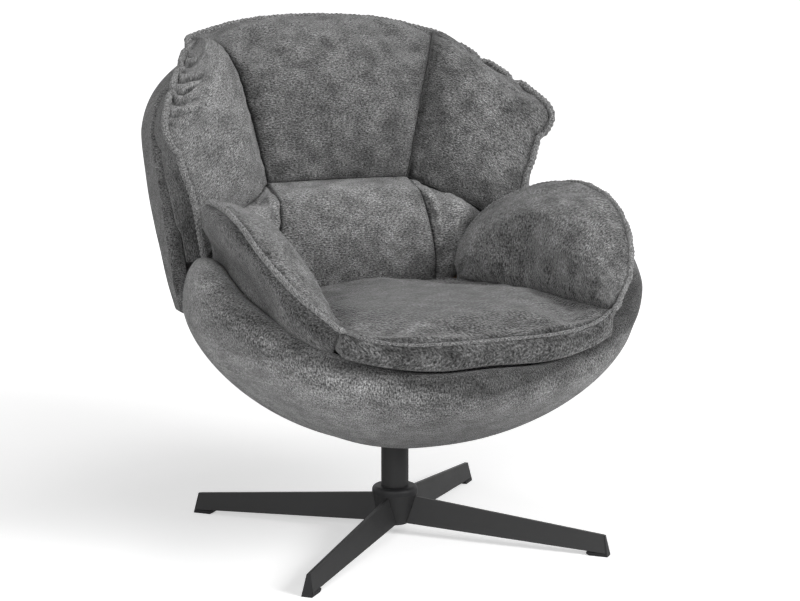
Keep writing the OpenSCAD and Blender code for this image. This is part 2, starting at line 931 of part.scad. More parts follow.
// Front face of the plywood back panel over a point; low down it stands inside the tub
function panel_y(x, z) =
    let (
        share = clamp(abs(x) / (back_w / 2 - back_t), 0, 0.985),
        bend = 1 - pow(1 - pow(share, back_power), 1 / back_power),
        narrow = wall_share(180, shell_inner_low, z),
        low_y = narrow * lookup(abs(x) / narrow, REAR_RIM),
        high_y = back_y(z) - back_t - panel_rear_gap - panel_bend * bend
    )
    mix(low_y, high_y, smooth(rim_back - 10, rim_back + panel_rise, z)) - panel_t;

function panel_half(z) =
    mix(panel_foot, panel_shoulder, smooth(rim_back, panel_turn, z))
        * sqrt(1 - 0.75 * pow(clamp((z - panel_turn) / (panel_top - panel_turn), 0, 1), 2.5));

module back_panel() {
    rows = 12;
    cols = 10;
    function face(back) = [
        for (i = [0:rows])
            [
                for (j = [0:cols])
                    let (
                        z = mix(deck_top + seat_gap, panel_top, i / rows),
                        x = panel_half(z) * (2 * j / cols - 1)
                    )
                    [x, panel_y(x, z) + (back ? panel_t : 0), z]
            ]
    ];
    color(birch)
    cushion(face(false), face(true), []);
}

// Strip on the deck along the foot of the panel
module back_cleat() {
    half = 90;
    low_z = deck_top + seat_gap;
    depth = 22;
    color(birch)
    translate([0, 0, low_z])
    linear_extrude(26)
    polygon(concat(
        [for (x = [-half:15:half]) [x, panel_y(x, low_z) - seat_gap]],
        [[half, panel_y(half, low_z) - depth], [-half, panel_y(half, low_z) - depth]]
    ));
}

// Seat cushion

seat_rear = seat_depth - seat_front;
cushion_low = deck_top + 2 * strap_t + seat_gap;

// Top edge of the seat cushion, w from -1 to 1 across and v from 0 at the back to 1 at the front
function seat_edge(w, v) =
    let (
        rear = [w * seat_rear_w / 2, seat_rear - 20 * w * w, seat_z + 2 + 4 * w * w],
        front = [
            w * seat_front_w / 2,
            -seat_front + 45 * pow(abs(w), 3),
            seat_z + corner_rise * pow(abs(w), 5)
        ]
    )
    mix(rear, front, v) + [w * 12 * 4 * v * (1 - v), 0, 0];

module seat_cushion() {
    rows = 12;
    cols = 14;
    top = [for (i = [0:rows]) [for (j = [0:cols]) seat_edge(2 * j / cols - 1, 1 - i / rows)]];
    bottom = [
        for (i = [0:rows])
            [
                for (j = [0:cols])
                    let (
                        w = 2 * j / cols - 1,
                        rear = seat_edge(w, 0),
                        front = seat_edge(w, 1),
                        reach = min(1, (rear[1] - front_at(front[0], rim_t + 8)) / (rear[1] - front[1])),
                        v = 1 - i / rows,
                        p = seat_edge(w, v * reach)
                    )
                    [p[0], p[1] - 6 * (1 - v), cushion_low]
            ]
    ];
    band = [
        for (e = border(rows, cols))
            let (p = top[e[0]][e[1]], rest = rim_z(turn_of(p)) + 5)
            [p[0], p[1], min(rest, p[2] - 20)]
    ];
    neck = [for (p = band) tucked(p - [0, 0, 5], rim_t + 4)];
    color(plush)
    cushion(crowned(top, seat_crown, 0.6, 0.6), bottom, [band, neck]);
}

// Arm pads

// Outer seam of an arm pad from the back crease over the top to the front corner, as shares of the
// way from the seat's side to the outer seam, from the front to the back, and from the seat to the top
ARM_SEAM = [
    [0.02, 0.985, 0.12],
    [0.06, 0.965, 0.40],
    [0.26, 0.915, 0.70],
    [0.62, 0.80, 0.92],
    [0.93, 0.66, 1.0],
    [1.0, 0.52, 0.97],
    [0.93, 0.385, 0.83],
    [0.72, 0.245, 0.58],
    [0.42, 0.13, 0.30],
    [0.20, 0.065, 0.14]
];

function arm_seam(u) =
    let (
        s = along(ARM_SEAM, u),
        side_x = mix(seat_rear_w, seat_front_w, 1 - s[1]) / 2 + soft_gap,
        back_y = seat_rear - 20
    )
    [mix(side_x, arm_span / 2, s[0]), mix(-seat_front + 45, back_y, s[1]), mix(seat_z, arm_top, s[2])];

// Inner edge along the seat cushion; the first and last points stand clear of its corners
function arm_root(u) =
    let (p = seat_edge(1, mix(0.03, 0.985, u)))
    p + [soft_gap + 1, 0, 3];

module arm_pad() {
    rows = 8;
    cols = 14;
    face = [
        for (i = [0:rows])
            [for (j = [0:cols]) mix(arm_root(j / cols), arm_seam(j / cols), i / rows)]
    ];
    under = [
        for (i = [0:rows])
            [
                for (j = [0:cols])
                    let (
                        root = arm_root(j / cols),
                        seam = arm_seam(j / cols),
                        inner = tucked_back([root[0], root[1], deck_top + soft_gap + 6], rim_t + 8),
                        rise = (seam[2] - seat_z) / (arm_top - seat_z),
                        low_z = min(
                            mix(deck_top + 20, rim_side - 66, smooth(0.2, 0.9, rise)),
                            rim_z(turn_of(seam)) - 30
                        ),
                        outer = tucked_back([seam[0], seam[1], low_z], rim_t + 8)
                    )
                    mix(inner, outer, i / rows)
            ]
    ];
    edge = border(rows, cols);
    middle = bulged(face, under, [1, band_bulge, 1, 0]);
    band = [
        for (k = [0:len(edge) - 1])
            let (p = middle[k], top_z = face[edge[k][0]][edge[k][1]][2])
            [p[0], p[1], max(p[2], min(rim_z(turn_of(p)) + 8, top_z - 15))]
    ];
    neck = [
        for (p = band)
            tucked_back([p[0], p[1], min(p[2] - 3, rim_z(turn_of(p)) + 3)], rim_t + 4)
    ];
    color(plush)
    cushion(crowned(face, arm_crown, 0.5, 0.7), under, [band, neck]);
}

// Back cushions

crease_half = crease_w / 2;
crease_y = 253;
head_half = head_w / 2;
wing_half = wing_span / 2;

// Seam between headrest and wing, from the crease to the top corner
HEAD_SEAM = [
    [crease_half, crease_y, crease_z],
    [mix(crease_half, head_half, 0.28), crease_y + 9, mix(crease_z, head_top, 0.44)],
    [mix(crease_half, head_half, 0.62), crease_y + 38, mix(crease_z, head_top, 0.80)],
    [head_half, crease_y + 115, head_top - 30]
];
// Seam on top of the headrest
HEAD_TOP = [
    mirror_x(HEAD_SEAM[3]),
    [-head_half * 0.52, crease_y + 131, head_top - 6],
    [0, crease_y + 138, head_top],
    [head_half * 0.52, crease_y + 131, head_top - 6],
    HEAD_SEAM[3]
];
// Outer seam of a wing, from its lower tip to the top corner
WING_SEAM = [
    [wing_half * 0.81, 128, crease_z - 93],
    [wing_half * 0.855, 132, crease_z - 8],
    [wing_half * 0.915, 130, crease_z + 52],
    [wing_half, 125, wing_z],
    [wing_half * 0.885, 216, mix(wing_z, head_top, 0.34)],
    [wing_half * 0.714, 327, mix(wing_z, head_top, 0.68)],
    HEAD_SEAM[3]
];
// Offsets of the rear edge of a wing's band from its outer seam, outwards and backwards
WING_OUT = [30, 30, 20, -2, 4, 2, 0];
WING_DEEP = [22, 33, 42, 62, 45, 30, 20];
// Lower edge of a wing, from the crease to the tip
WING_LOW = [
    [crease_half, crease_y, crease_z],
    [crease_half + 40, crease_y - 42, crease_z - 20],
    [crease_half + 104, crease_y - 84, crease_z - 54],
    WING_SEAM[0]
];
// Seam down the side of the lumbar cushion
LUMBAR_SEAM = [
    [crease_half + 22, seat_rear + 4, seat_z - 4],
    [crease_half + 19, seat_rear + 1, mix(seat_z, crease_z, 0.25)],
    [crease_half + 8, seat_rear + 4, mix(seat_z, crease_z, 0.6)],
    [crease_half + 1, mix(seat_rear, crease_y, 0.33), mix(seat_z, crease_z, 0.86)],
    [crease_half, crease_y, crease_z - 4]
];

function shift(c, d) = [for (p = c) p + d];
function mirrored(c) = [for (p = c) mirror_x(p)];

module headrest_centre() {
    rows = 11;
    cols = 12;
    side = shift(HEAD_SEAM, [-soft_gap, 0, soft_gap]);
    low = [mirror_x(side[0]), [0, crease_y + 8, crease_z + soft_gap], side[0]];
    top = concat([mirror_x(side[3])], [HEAD_TOP[1], HEAD_TOP[2], HEAD_TOP[3]], [side[3]]);
    front = patch(low, top, mirrored(side), side, rows, cols);
    back = [
        for (i = [0:rows])
            [
                for (p = front[i])
                    let (x = p[0] * 0.92, z = mix(crease_z, p[2], 0.95))
                    [x, max(panel_y(x, z) - panel_gap, p[1] + 5), z]
            ]
    ];
    color(plush)
    cushion(crowned(front, head_crown, 0.6, 0.9), back, []);
}

module lumbar_centre() {
    rows = 9;
    cols = 12;
    side = shift(LUMBAR_SEAM, [-soft_gap, 0, 0]);
    low = [mirror_x(side[0]), [0, seat_rear + 20, seat_z - 6], side[0]];
    top = [mirror_x(side[4]), [0, crease_y + 8, crease_z - 4], side[4]];
    front = patch(low, top, mirrored(side), side, rows, cols);
    back = [
        for (i = [0:rows])
            [
                for (p = front[i])
                    let (z = mix(seat_z - 40, crease_z - 8, i / rows))
                    [p[0] * 0.98, panel_y(p[0] * 0.98, z) - 2 * panel_gap, z]
            ]
    ];
    color(plush)
    cushion(crowned(front, lumbar_crown, 0.6, 0.6), back, []);
}

module wing() {
    rows = 10;
    cols = 9;
    seam = shift(HEAD_SEAM, [soft_gap, 0, soft_gap]);
    low = concat([seam[0]], [WING_LOW[1], WING_LOW[2], WING_LOW[3]]);
    front = patch(
        low,
        [seam[3], mix(seam[3], WING_SEAM[5], 0.15), mix(seam[3], WING_SEAM[5], 0.3)],
        seam,
        concat([for (i = [0:5]) WING_SEAM[i]], [mix(seam[3], WING_SEAM[5], 0.3)]),
        rows,
        cols
    );
    back = [
        for (i = [0:rows])
            [
                for (j = [0:cols])
                    let (
                        p = front[i][j],
                        w = j / cols,
                        deep = p[1] + mix(50, along(WING_DEEP, i / rows), w),
                        limit = panel_y(min(p[0], back_w / 2 - back_t - 8), p[2]) - panel_gap
                    )
                    [p[0] + 4 + w * w * along(WING_OUT, i / rows), max(p[1] + 8, min(deep, limit)), p[2] - 2]
            ]
    ];
    color(plush)
    cushion(crowned(front, wing_crown, 0.9, 0.9), back, [bulged(front, back, [0, 2, 5, 0])]);
}

module lumbar_side() {
    rows = 8;
    cols = 6;
    seam = shift(LUMBAR_SEAM, [soft_gap, 0, 0]);
    tip = WING_LOW[3] + [-10, 10, -8];
    top = concat([seam[4]], shift([WING_LOW[1], WING_LOW[2]], [0, 1, -1.5]), [tip]);
    front = patch(
        [seam[0], seam[0] + [20, 4, 2], seam[0] + [40, 10, 6]],
        top,
        seam,
        [seam[0] + [40, 10, 6], seam[0] + [62, 6, 50], tip],
        rows,
        cols
    );
    back = [
        for (i = [0:rows])
            [
                for (p = front[i])
                    [p[0], max(p[1] + 8, min(p[1] + 60, panel_y(p[0], p[2]) - panel_gap)), p[2]]
            ]
    ];
    color(plush)
    cushion(crowned(front, lumbar_crown * 0.7, 0.6, 0.6), back, []);
}

base_hub();
leg(foot_angles[0]);  // leg_front_left
leg(foot_angles[1]);  // leg_front_right
leg(foot_angles[2]);  // leg_rear_left
leg(foot_angles[3]);  // leg_rear_right
foot(foot_angles[0]);  // foot_front_left
foot(foot_angles[1]);  // foot_front_right
foot(foot_angles[2]);  // foot_rear_left
foot(foot_angles[3]);  // foot_rear_right
base_column();
hub_collar();
lower_bush();
upper_bush();
race(bearing_z);  // bearing_lower_race
bearing_balls();
race(bearing_z + bearing_h - race_t);  // bearing_upper_race
spindle();
retaining_washer();
retaining_clip();
swivel_plate();
plate_bolts();
tee_nuts();
mounting_disc();
rib_frame();
seat_deck();
seat_webbing();
tub_shell();
tub_padding();
back_panel();
back_cleat();
back_shell();
seat_cushion();
mirror([1, 0, 0]) arm_pad();  // arm_pad_left
arm_pad();  // arm_pad_right
lumbar_centre();
mirror([1, 0, 0]) lumbar_side();  // lumbar_side_left
lumbar_side();  // lumbar_side_right
headrest_centre();
mirror([1, 0, 0]) wing();  // wing_left
wing();  // wing_right
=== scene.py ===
# %% [markdown]
# # A swivel lounge chair, dressed in plush
# The chair is a padded tub on a black star base. Inside the tub lie a seat cushion, two petal-shaped
# arm pads, a lumbar cushion and a headrest with two wings. The steel, the plastic and the wood come
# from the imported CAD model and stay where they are. Every soft part is made here again, as a sewn
# cover with piping, folds and a pile, because a CAD solid is too plain for cloth.

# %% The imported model
import math

import bpy
import numpy as np
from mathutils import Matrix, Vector


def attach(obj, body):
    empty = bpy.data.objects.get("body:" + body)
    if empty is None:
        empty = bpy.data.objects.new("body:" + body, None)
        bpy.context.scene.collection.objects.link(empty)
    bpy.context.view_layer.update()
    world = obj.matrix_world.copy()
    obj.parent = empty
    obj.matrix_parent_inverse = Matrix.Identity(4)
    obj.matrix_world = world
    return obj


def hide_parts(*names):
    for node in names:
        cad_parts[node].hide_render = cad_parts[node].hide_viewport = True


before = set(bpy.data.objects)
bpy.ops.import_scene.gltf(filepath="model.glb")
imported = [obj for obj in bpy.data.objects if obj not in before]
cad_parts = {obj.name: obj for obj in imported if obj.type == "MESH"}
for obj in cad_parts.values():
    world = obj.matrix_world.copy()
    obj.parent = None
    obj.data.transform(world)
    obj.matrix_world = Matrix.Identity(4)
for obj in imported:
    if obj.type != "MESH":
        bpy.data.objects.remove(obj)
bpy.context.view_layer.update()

# %% [markdown]
# ## Camera
# The photograph was taken from the front and a little to the sitter's right, with a long lens, so the
# verticals hardly converge. The lens and place below were solved from the feet, the column and the
# heights of the cushions, and they make a picture of 800 by 601.

# %% Camera
turn, tilt = math.radians(-24), math.radians(79.987)
camera = bpy.data.objects.new("camera", bpy.data.cameras.new("camera"))
bpy.context.scene.collection.objects.link(camera)
camera.location = (-1.4457, -3.2694, 1.0472)
camera.rotation_euler = (tilt, 0, turn)
camera.data.lens = 94.46
camera.data.sensor_width = 36
bpy.context.scene.camera = camera
bpy.context.scene.view_settings.view_transform = "Standard"
print("camera:", camera.location[:])

# %% [markdown]
# ## Small tools for surfaces
# All shapes are worked out in millimetres as whole numpy arrays: a surface is a function of two
# numbers on a grid. A smooth line through a few control points is a Catmull-Rom curve, and a panel
# between four such lines is a Coons patch. Both are short formulas, and they give the same shape as
# the CAD source when they get the same points.

# %% Numbers and curves
MM = 0.001
SOFT_GAP = 0.4


def mix(a, b, t):
    """a where t is 0 and b where t is 1, straight between them."""
    return a + (b - a) * t


def smooth(low, high, x):
    """0 below low, 1 above high, and 3t^2 - 2t^3 between them."""
    t = np.clip((x - low) / (high - low), 0, 1)
    return t * t * (3 - 2 * t)


def spow(x, p):
    """Power that keeps the sign of x."""
    return np.sign(x) * np.abs(x) ** p


def points(*columns):
    """Columns of x, y and z, spread to one shape, as an array of points."""
    return np.stack(np.broadcast_arrays(*columns), -1).astype(float)


def unit(v):
    """Vectors of length one."""
    return v / np.maximum(np.linalg.norm(v, axis=-1, keepdims=True), 1e-9)


def along(controls, t):
    """Catmull-Rom curve through equally spaced controls, t from 0 to 1. Between two controls it is a
    cubic, and its slope at a control is half the step between that control's neighbours."""
    c = np.asarray(controls, float)
    flat = c.ndim == 1
    c = c[:, None] if flat else c
    c = np.vstack([2 * c[0] - c[1], c, 2 * c[-1] - c[-2]])
    x = np.clip(t, 0, 1) * (len(c) - 3)
    k = np.minimum(np.floor(x).astype(int), len(c) - 4)
    s = (x - k)[..., None]
    p0, p1, p2, p3 = c[k], c[k + 1], c[k + 2], c[k + 3]
    p = 0.5 * (2 * p1 + (p2 - p0) * s + (2 * p0 - 5 * p1 + 4 * p2 - p3) * s**2
               + (3 * p1 - p0 - 3 * p2 + p3) * s**3)
    return p[..., 0] if flat else p


def grid(n, m):
    """Parameters v up the rows and u along them, n + 1 rows of m + 1 points, both from 0 to 1."""
    return np.meshgrid(np.linspace(0, 1, n + 1), np.linspace(0, 1, m + 1), indexing="ij")


# %% Panels
def patch(low, high, left, right, n, m):
    """Coons patch: the two ruled surfaces between opposite edges, added, less the bilinear one."""
    v, u = grid(n, m)
    u, v = u[..., None], v[..., None]
    low, high, left, right = (np.asarray(c, float) for c in (low, high, left, right))
    sides = mix(along(left, v[..., 0]), along(right, v[..., 0]), u)
    ends = mix(along(low, u[..., 0]), along(high, u[..., 0]), v)
    corners = mix(mix(low[0], low[-1], u), mix(high[0], high[-1], u), v)
    return sides + ends - corners


def normals(g):
    """Outward unit normals of a grid: the cross product of its two slopes."""
    return unit(np.cross(np.gradient(g, axis=1), np.gradient(g, axis=0)))


def crowned(g, height, pv, pu):
    """The grid swollen along its normals by height times (4v(1-v))^pv times (4u(1-u))^pu."""
    v, u = grid(g.shape[0] - 1, g.shape[1] - 1)
    swell = (4 * v * (1 - v)) ** pv * (4 * u * (1 - u)) ** pu
    return g + normals(g) * (height * swell)[..., None]


def rim_of(g):
    """The border of a grid as one loop: up the left side, along the top, down and back."""
    return np.concatenate([g[:-1, 0], g[-1, :-1], g[:0:-1, -1], g[0, :0:-1]])


def outward(g):
    """At each point of the border, the direction away from the grid."""
    n, m = g.shape[0] - 1, g.shape[1] - 1
    i, j = np.meshgrid(np.arange(n + 1), np.arange(m + 1), indexing="ij")
    inner = g[np.clip(i, 1, n - 1), np.clip(j, 1, m - 1)]
    return unit(rim_of(g) - rim_of(inner))


def side_shares(g, left, top, right, bottom):
    """A value for each border point, by the edge that it lies on."""
    n, m = g.shape[0] - 1, g.shape[1] - 1
    return np.repeat([left, top, right, bottom], [n, m, n, m]).astype(float)


# %% [markdown]
# ## From grids to meshes
# A cushion is closed: a front grid, a back grid, and rings of points for the band between their
# borders. Each face also gets its place on the cloth in metres as a UV map, measured along the
# surface, so that the pile can follow the panel instead of cutting through it.

# %% Mesh makers
def piece(name, co, faces, uv):
    """A mesh object of quads at the origin, its points in millimetres, riding on the turning seat."""
    mesh = bpy.data.meshes.new(name)
    mesh.from_pydata((co * MM).tolist(), [], faces.tolist())
    layer = mesh.uv_layers.new(name="cloth")
    layer.data.foreach_set("uv", (uv * MM).reshape(-1).astype(np.float32))
    mesh.polygons.foreach_set("use_smooth", np.ones(len(faces), bool))
    # The attribute holds painted light and shade, which the plush material multiplies into its colour.
    mesh.attributes.new("nap", "FLOAT", "POINT")
    mesh.update()
    obj = bpy.data.objects.new(name, mesh)
    bpy.context.scene.collection.objects.link(obj)
    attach(obj, "seat")
    return obj


def arcs(g):
    """Distance along the rows and up the columns of a grid, as the place of each point on the cloth."""
    du = np.linalg.norm(np.diff(g, axis=1), axis=-1)
    dv = np.linalg.norm(np.diff(g, axis=0), axis=-1)
    u = np.pad(np.cumsum(du, 1), ((0, 0), (1, 0)))
    v = np.pad(np.cumsum(dv, 0), ((1, 0), (0, 0)))
    return np.stack([u - u[:, u.shape[1] // 2, None], v], -1)


def cells(a, flip=False):
    """The four corners of every cell of a grid of numbers or points."""
    order = [a[:-1, :-1], a[:-1, 1:], a[1:, 1:], a[1:, :-1]]
    if flip:
        order.reverse()
    return np.stack(order, 2).reshape((-1, 4) + a.shape[2:])


def cushion(name, front, back, rings):
    """Closed cushion from a front grid, a back grid and the rings between their borders."""
    ids = np.arange(front.shape[0] * front.shape[1]).reshape(front.shape[:2])
    edge, count = rim_of(ids), ids.size
    loops = [edge] + [2 * count + r * len(edge) + np.arange(len(edge)) for r in range(len(rings))]
    loops.append(edge + count)
    band_ids = np.pad(loops, ((0, 0), (0, 1)), mode="wrap")
    co = np.concatenate([front.reshape(-1, 3), back.reshape(-1, 3)] + list(rings))
    faces = [cells(ids), cells(ids + count, True), cells(band_ids)]
    uvs = [cells(arcs(front)), cells(arcs(back), True), cells(arcs(co[band_ids]))]
    obj = piece(name, co, np.concatenate(faces), np.concatenate(uvs))
    print(f"{name}: {len(co)} points, {sum(map(len, faces))} faces")
    return obj


def band_rings(front_rim, back_rim, out, bulge, count):
    """Rings between two borders, standing out by bulge times the sine of the way between them."""
    s = np.linspace(0, 1, count + 2)[1:-1]
    bulge = np.broadcast_to(bulge, front_rim.shape[:1])
    return [mix(front_rim, back_rim, k) + out * (bulge * math.sin(math.pi * k))[:, None] for k in s]


ASKEW = np.array([0.3, 0.5, 0.81])
TWIST_PITCH, TUBE_SIDES = 9, 12


def run_of(path):
    """Distance from the start of a path to each of its points."""
    return np.concatenate([[0], np.cumsum(np.linalg.norm(np.diff(path, axis=0), axis=1))])


def tube(name, path, radius, twist):
    """Round cord along a path: circles in the plane across its direction. Twist makes two ridges run
    round it in a helix: the radius grows by twist times cos(2 angle - turn), where the turn goes round
    once in TWIST_PITCH. Three rings that shrink to a tip close each end as a dome. ASKEW is a direction
    that no seam of the chair follows, so the circles always know where their start lies."""
    ahead = unit(np.gradient(path, axis=0))
    up = unit(np.cross(ahead, np.cross(ASKEW, ahead)))
    side = np.cross(ahead, up)
    a = np.linspace(0, 2 * np.pi, TUBE_SIDES + 1)[None, :, None]
    turn = (run_of(path) * 2 * np.pi / TWIST_PITCH)[:, None, None]
    r = radius[:, None, None] * (1 + twist * np.cos(2 * a - turn))
    ring = path[:, None] + r * (np.cos(a) * up[:, None] + np.sin(a) * side[:, None])
    tip = np.array([0.02, 0.5, 0.85])[:, None, None]
    reach = (1 - tip**2) * 0.7 * np.mean(radius)
    first = path[0] + (ring[0] - path[0]) * tip - ahead[0] * reach
    last = path[-1] + (ring[-1] - path[-1]) * tip[::-1] + ahead[-1] * reach[::-1]
    ring = np.concatenate([first, ring, last])
    ids = np.arange(len(ring) * TUBE_SIDES).reshape(len(ring), TUBE_SIDES)
    ids = np.pad(ids, ((0, 0), (0, 1)), mode="wrap")
    return piece(name, ring[:, :-1].reshape(-1, 3), cells(ids, True), cells(arcs(ring), True))


# %% [markdown]
# ## Materials
# The cover is a mid-grey chenille plush. Its pile is a mat of short tufts, a few millimetres long, that
# lie in streaks, catch the light in pale flecks and leave dark gaps. Hands and folds push it this way
# and that, which gives soft lighter and darker patches. So the colour is a grey times four noises:
# stretched streaks, fine clumps, and patches of two sizes. The noises read the cloth's own UV map, bent
# a little so that the streaks swirl. A sheen gives the pale bloom of pile seen from the side.

# %% Node helpers
def node_tools(tree):
    """For a node tree: a function that adds a node and sets its values, and one that links sockets."""
    def add(kind, **values):
        node = tree.nodes.new(kind)
        for key, value in values.items():
            if key in node.inputs:
                node.inputs[key].default_value = value
            else:
                setattr(node, key, value)
        return node

    return add, tree.links.new


def new_material(name):
    """An empty material with its shader and its node tools."""
    mat = bpy.data.materials.new(name)
    mat.use_nodes = True
    return mat, mat.node_tree.nodes["Principled BSDF"], *node_tools(mat.node_tree)


def stretched_noise(add, link, source, scale, detail, roughness):
    """Noise on coordinates in metres, stretched by a scale for each direction."""
    place = add("ShaderNodeMapping")
    place.inputs["Scale"].default_value = scale
    link(source, place.inputs["Vector"])
    noise = add("ShaderNodeTexNoise", Scale=1.0, Detail=detail, Roughness=roughness)
    link(place.outputs["Vector"], noise.inputs["Vector"])
    return noise.outputs["Fac"]


def ramp(add, link, source, low, high, dark, light):
    """Colour from dark to light as a value goes from low to high."""
    node = add("ShaderNodeValToRGB")
    for element, position, colour in zip(node.color_ramp.elements, (low, high), (dark, light)):
        element.position = position
        element.color = (*colour, 1)
    link(source, node.inputs["Fac"])
    return node.outputs["Color"]


def grey(x):
    """A neutral colour."""
    return (x, x, x)


def add_mapped(add, link, source, low, high, dark, light):
    """A value carried from the range low to high over to the range dark to light."""
    node = add("ShaderNodeMapRange")
    for name, value in (("From Min", low), ("From Max", high), ("To Min", dark), ("To Max", light)):
        node.inputs[name].default_value = value
    link(source, node.inputs["Value"])
    return node.outputs["Result"]


def combined(add, link, a, b, operation="MULTIPLY"):
    """Two values multiplied, or joined by another operation."""
    node = add("ShaderNodeMath", operation=operation)
    link(a, node.inputs[0])
    link(b, node.inputs[1])
    return node.outputs["Value"]


def combined_vector(add, link, a, b, operation):
    """Two vectors or colours joined by an operation. Either may be a constant."""
    node = add("ShaderNodeVectorMath", operation=operation)
    for value, socket in zip((a, b), node.inputs):
        if isinstance(value, tuple):
            socket.default_value = value
        else:
            link(value, socket)
    return node.outputs["Vector"]


def emboss(add, link, shader, height, strength, distance):
    """Bump on a shader from a height, at most distance metres deep."""
    bump = add("ShaderNodeBump", Strength=strength, Distance=distance)
    link(height, bump.inputs["Height"])
    link(bump.outputs["Normal"], shader.inputs["Normal"])


# %% Plush
def bent_cloth(add, link, amount):
    """The cloth's UV map in metres, pushed about by a soft noise of that amount."""
    cloth = add("ShaderNodeUVMap", uv_map="cloth").outputs["UV"]
    noise = add("ShaderNodeTexNoise", Scale=26.0, Detail=2.0)
    link(cloth, noise.inputs["Vector"])
    shift = combined_vector(add, link, noise.outputs["Color"], grey(0.5), "SUBTRACT")
    scaled = add("ShaderNodeVectorMath", operation="SCALE")
    scaled.inputs["Scale"].default_value = amount
    link(shift, scaled.inputs[0])
    return combined_vector(add, link, cloth, scaled.outputs["Vector"], "ADD")


def make_plush(name, level, streaks=(200, 560, 1), clump=480, mottle=1.3, depth=1.25, swirl=0.006):
    """Chenille plush: level is its grey, streaks and clump the tufts per metre along and across the
    pile, mottle how strongly the wide patches show, depth how dark the gaps between tufts are and
    swirl how far the streaks wander. The point attribute that it reads is painted light and shade: it
    makes the colour lighter or darker by place."""
    mat, shader, add, link = new_material(name)
    cloth = bent_cloth(add, link, swirl)

    def layer(scale, detail, roughness, low, high, fall, rise):
        noise = stretched_noise(add, link, cloth, scale, detail, roughness)
        return add_mapped(add, link, noise, low, high, 1 - fall, 1 + rise)

    pile = combined(add, link, layer(streaks, 2, 0.6, 0.34, 0.66, 0.62 * depth, 0.62 * depth),
                    layer((clump, clump, 1), 2, 0.6, 0.34, 0.66, 0.45 * depth, 0.45 * depth))
    lie = combined(add, link, layer((24, 34, 1), 5, 0.7, 0.36, 0.64, 0.30 * mottle, 0.26 * mottle),
                   layer((6, 8, 1), 2, 0.5, 0.35, 0.65, 0.10 * mottle, 0.10 * mottle))
    # Painted light and shade: the mesh's attribute, plus one, scales the colour by place.
    nap = add("ShaderNodeMath", operation="ADD")
    nap.inputs[1].default_value = 1.0
    link(add("ShaderNodeAttribute", attribute_name="nap").outputs["Fac"], nap.inputs[0])
    tone = combined(add, link, combined(add, link, pile, lie), nap.outputs["Value"])
    colour = ramp(add, link, add_mapped(add, link, tone, 0, 4, 0, 1), 0, 1, grey(0), grey(level * 4))
    link(colour, shader.inputs["Base Color"])
    emboss(add, link, shader, pile, 0.6, 0.002)
    shader.inputs["Roughness"].default_value = 0.95
    shader.inputs["Specular IOR Level"].default_value = 0.2
    shader.inputs["Sheen Weight"].default_value = 0.34
    shader.inputs["Sheen Roughness"].default_value = 0.35
    return mat


plush = make_plush("plush", 0.145)
plush_seat = make_plush("plush_seat", 0.125, (210, 230, 1), 270, 1.9, 1.2)
plush_arm = make_plush("plush_arm", 0.14, (380, 150, 1), 340, 1.6, 1.2)
plush_shell = make_plush("plush_shell", 0.15, (520, 230, 1))
plush_tub = make_plush("plush_tub", 0.14, (460, 200, 1), 380, 1.4, 1.2, 0.008)
# The cords' cloth is painted lighter than the covers', as painted light on cords that face away from the
# lamps.
plush_cord = make_plush("plush_cord", 0.20, (500, 240, 1), mottle=0.5)
print("plush:", [m.name for m in (plush, plush_seat, plush_arm, plush_shell, plush_tub, plush_cord)])

# %% [markdown]
# ### Finishes of the hard parts
# The base is satin black powder coat, whose fine orange peel breaks up its highlights. The collar and
# the foot caps are moulded black plastic, a touch duller. The parts inside are zinc-plated steel, birch
# plywood and woven strap. The plywood panel in the back is wrapped in dark lining cloth where it stands
# above the tub, so that no bare wood shows between a wing and the shell.

# %% Hard finishes
def make_coat(name, colour, roughness, grain, depth, metallic=0.0, spread=0.08, gloss_level=0.5):
    """A coat with a fine grain: noise in metres for its bump and a wider one for its gloss."""
    mat, shader, add, link = new_material(name)
    place = add("ShaderNodeTexCoord").outputs["Object"]
    fine = stretched_noise(add, link, place, (grain, grain, grain), 2, 0.5)
    wide = stretched_noise(add, link, place, (30, 30, 30), 3, 0.6)
    gloss = add_mapped(add, link, wide, 0, 1, roughness - spread, roughness + spread)
    link(gloss, shader.inputs["Roughness"])
    tone = ramp(add, link, wide, 0.3, 0.7, [c * 0.85 for c in colour], colour)
    link(tone, shader.inputs["Base Color"])
    emboss(add, link, shader, fine, 0.25, depth)
    shader.inputs["Metallic"].default_value = metallic
    shader.inputs["Specular IOR Level"].default_value = gloss_level
    return mat


steel_black = make_coat("steel_black", (0.024, 0.024, 0.0245), 0.5, 1800, 0.0002, gloss_level=0.28)
plastic_black = make_coat("plastic_black", (0.012, 0.012, 0.013), 0.55, 2600, 0.0001, gloss_level=0.3)
zinc = make_coat("zinc", (0.62, 0.63, 0.65), 0.36, 900, 0.0001, 1.0)

# %% Wood and strap
LINING_FROM = 0.55


def make_wood(name):
    """Birch plywood: long stretched noise for the grain over a pale yellow-brown, times a value that
    falls to nearly black above LINING_FROM, where lining cloth covers the wood."""
    mat, shader, add, link = new_material(name)
    place = add("ShaderNodeTexCoord").outputs["Object"]
    grain = stretched_noise(add, link, place, (14, 260, 260), 6, 0.65)
    wood = ramp(add, link, grain, 0.3, 0.72, (0.42, 0.26, 0.12), (0.66, 0.47, 0.27))
    axes = add("ShaderNodeSeparateXYZ")
    link(place, axes.inputs["Vector"])
    bare = ramp(add, link, axes.outputs["Z"], LINING_FROM, LINING_FROM + 0.002, grey(1), grey(0.05))
    link(combined_vector(add, link, wood, bare, "MULTIPLY"), shader.inputs["Base Color"])
    emboss(add, link, shader, grain, 0.2, 0.0003)
    shader.inputs["Roughness"].default_value = 0.6
    return mat


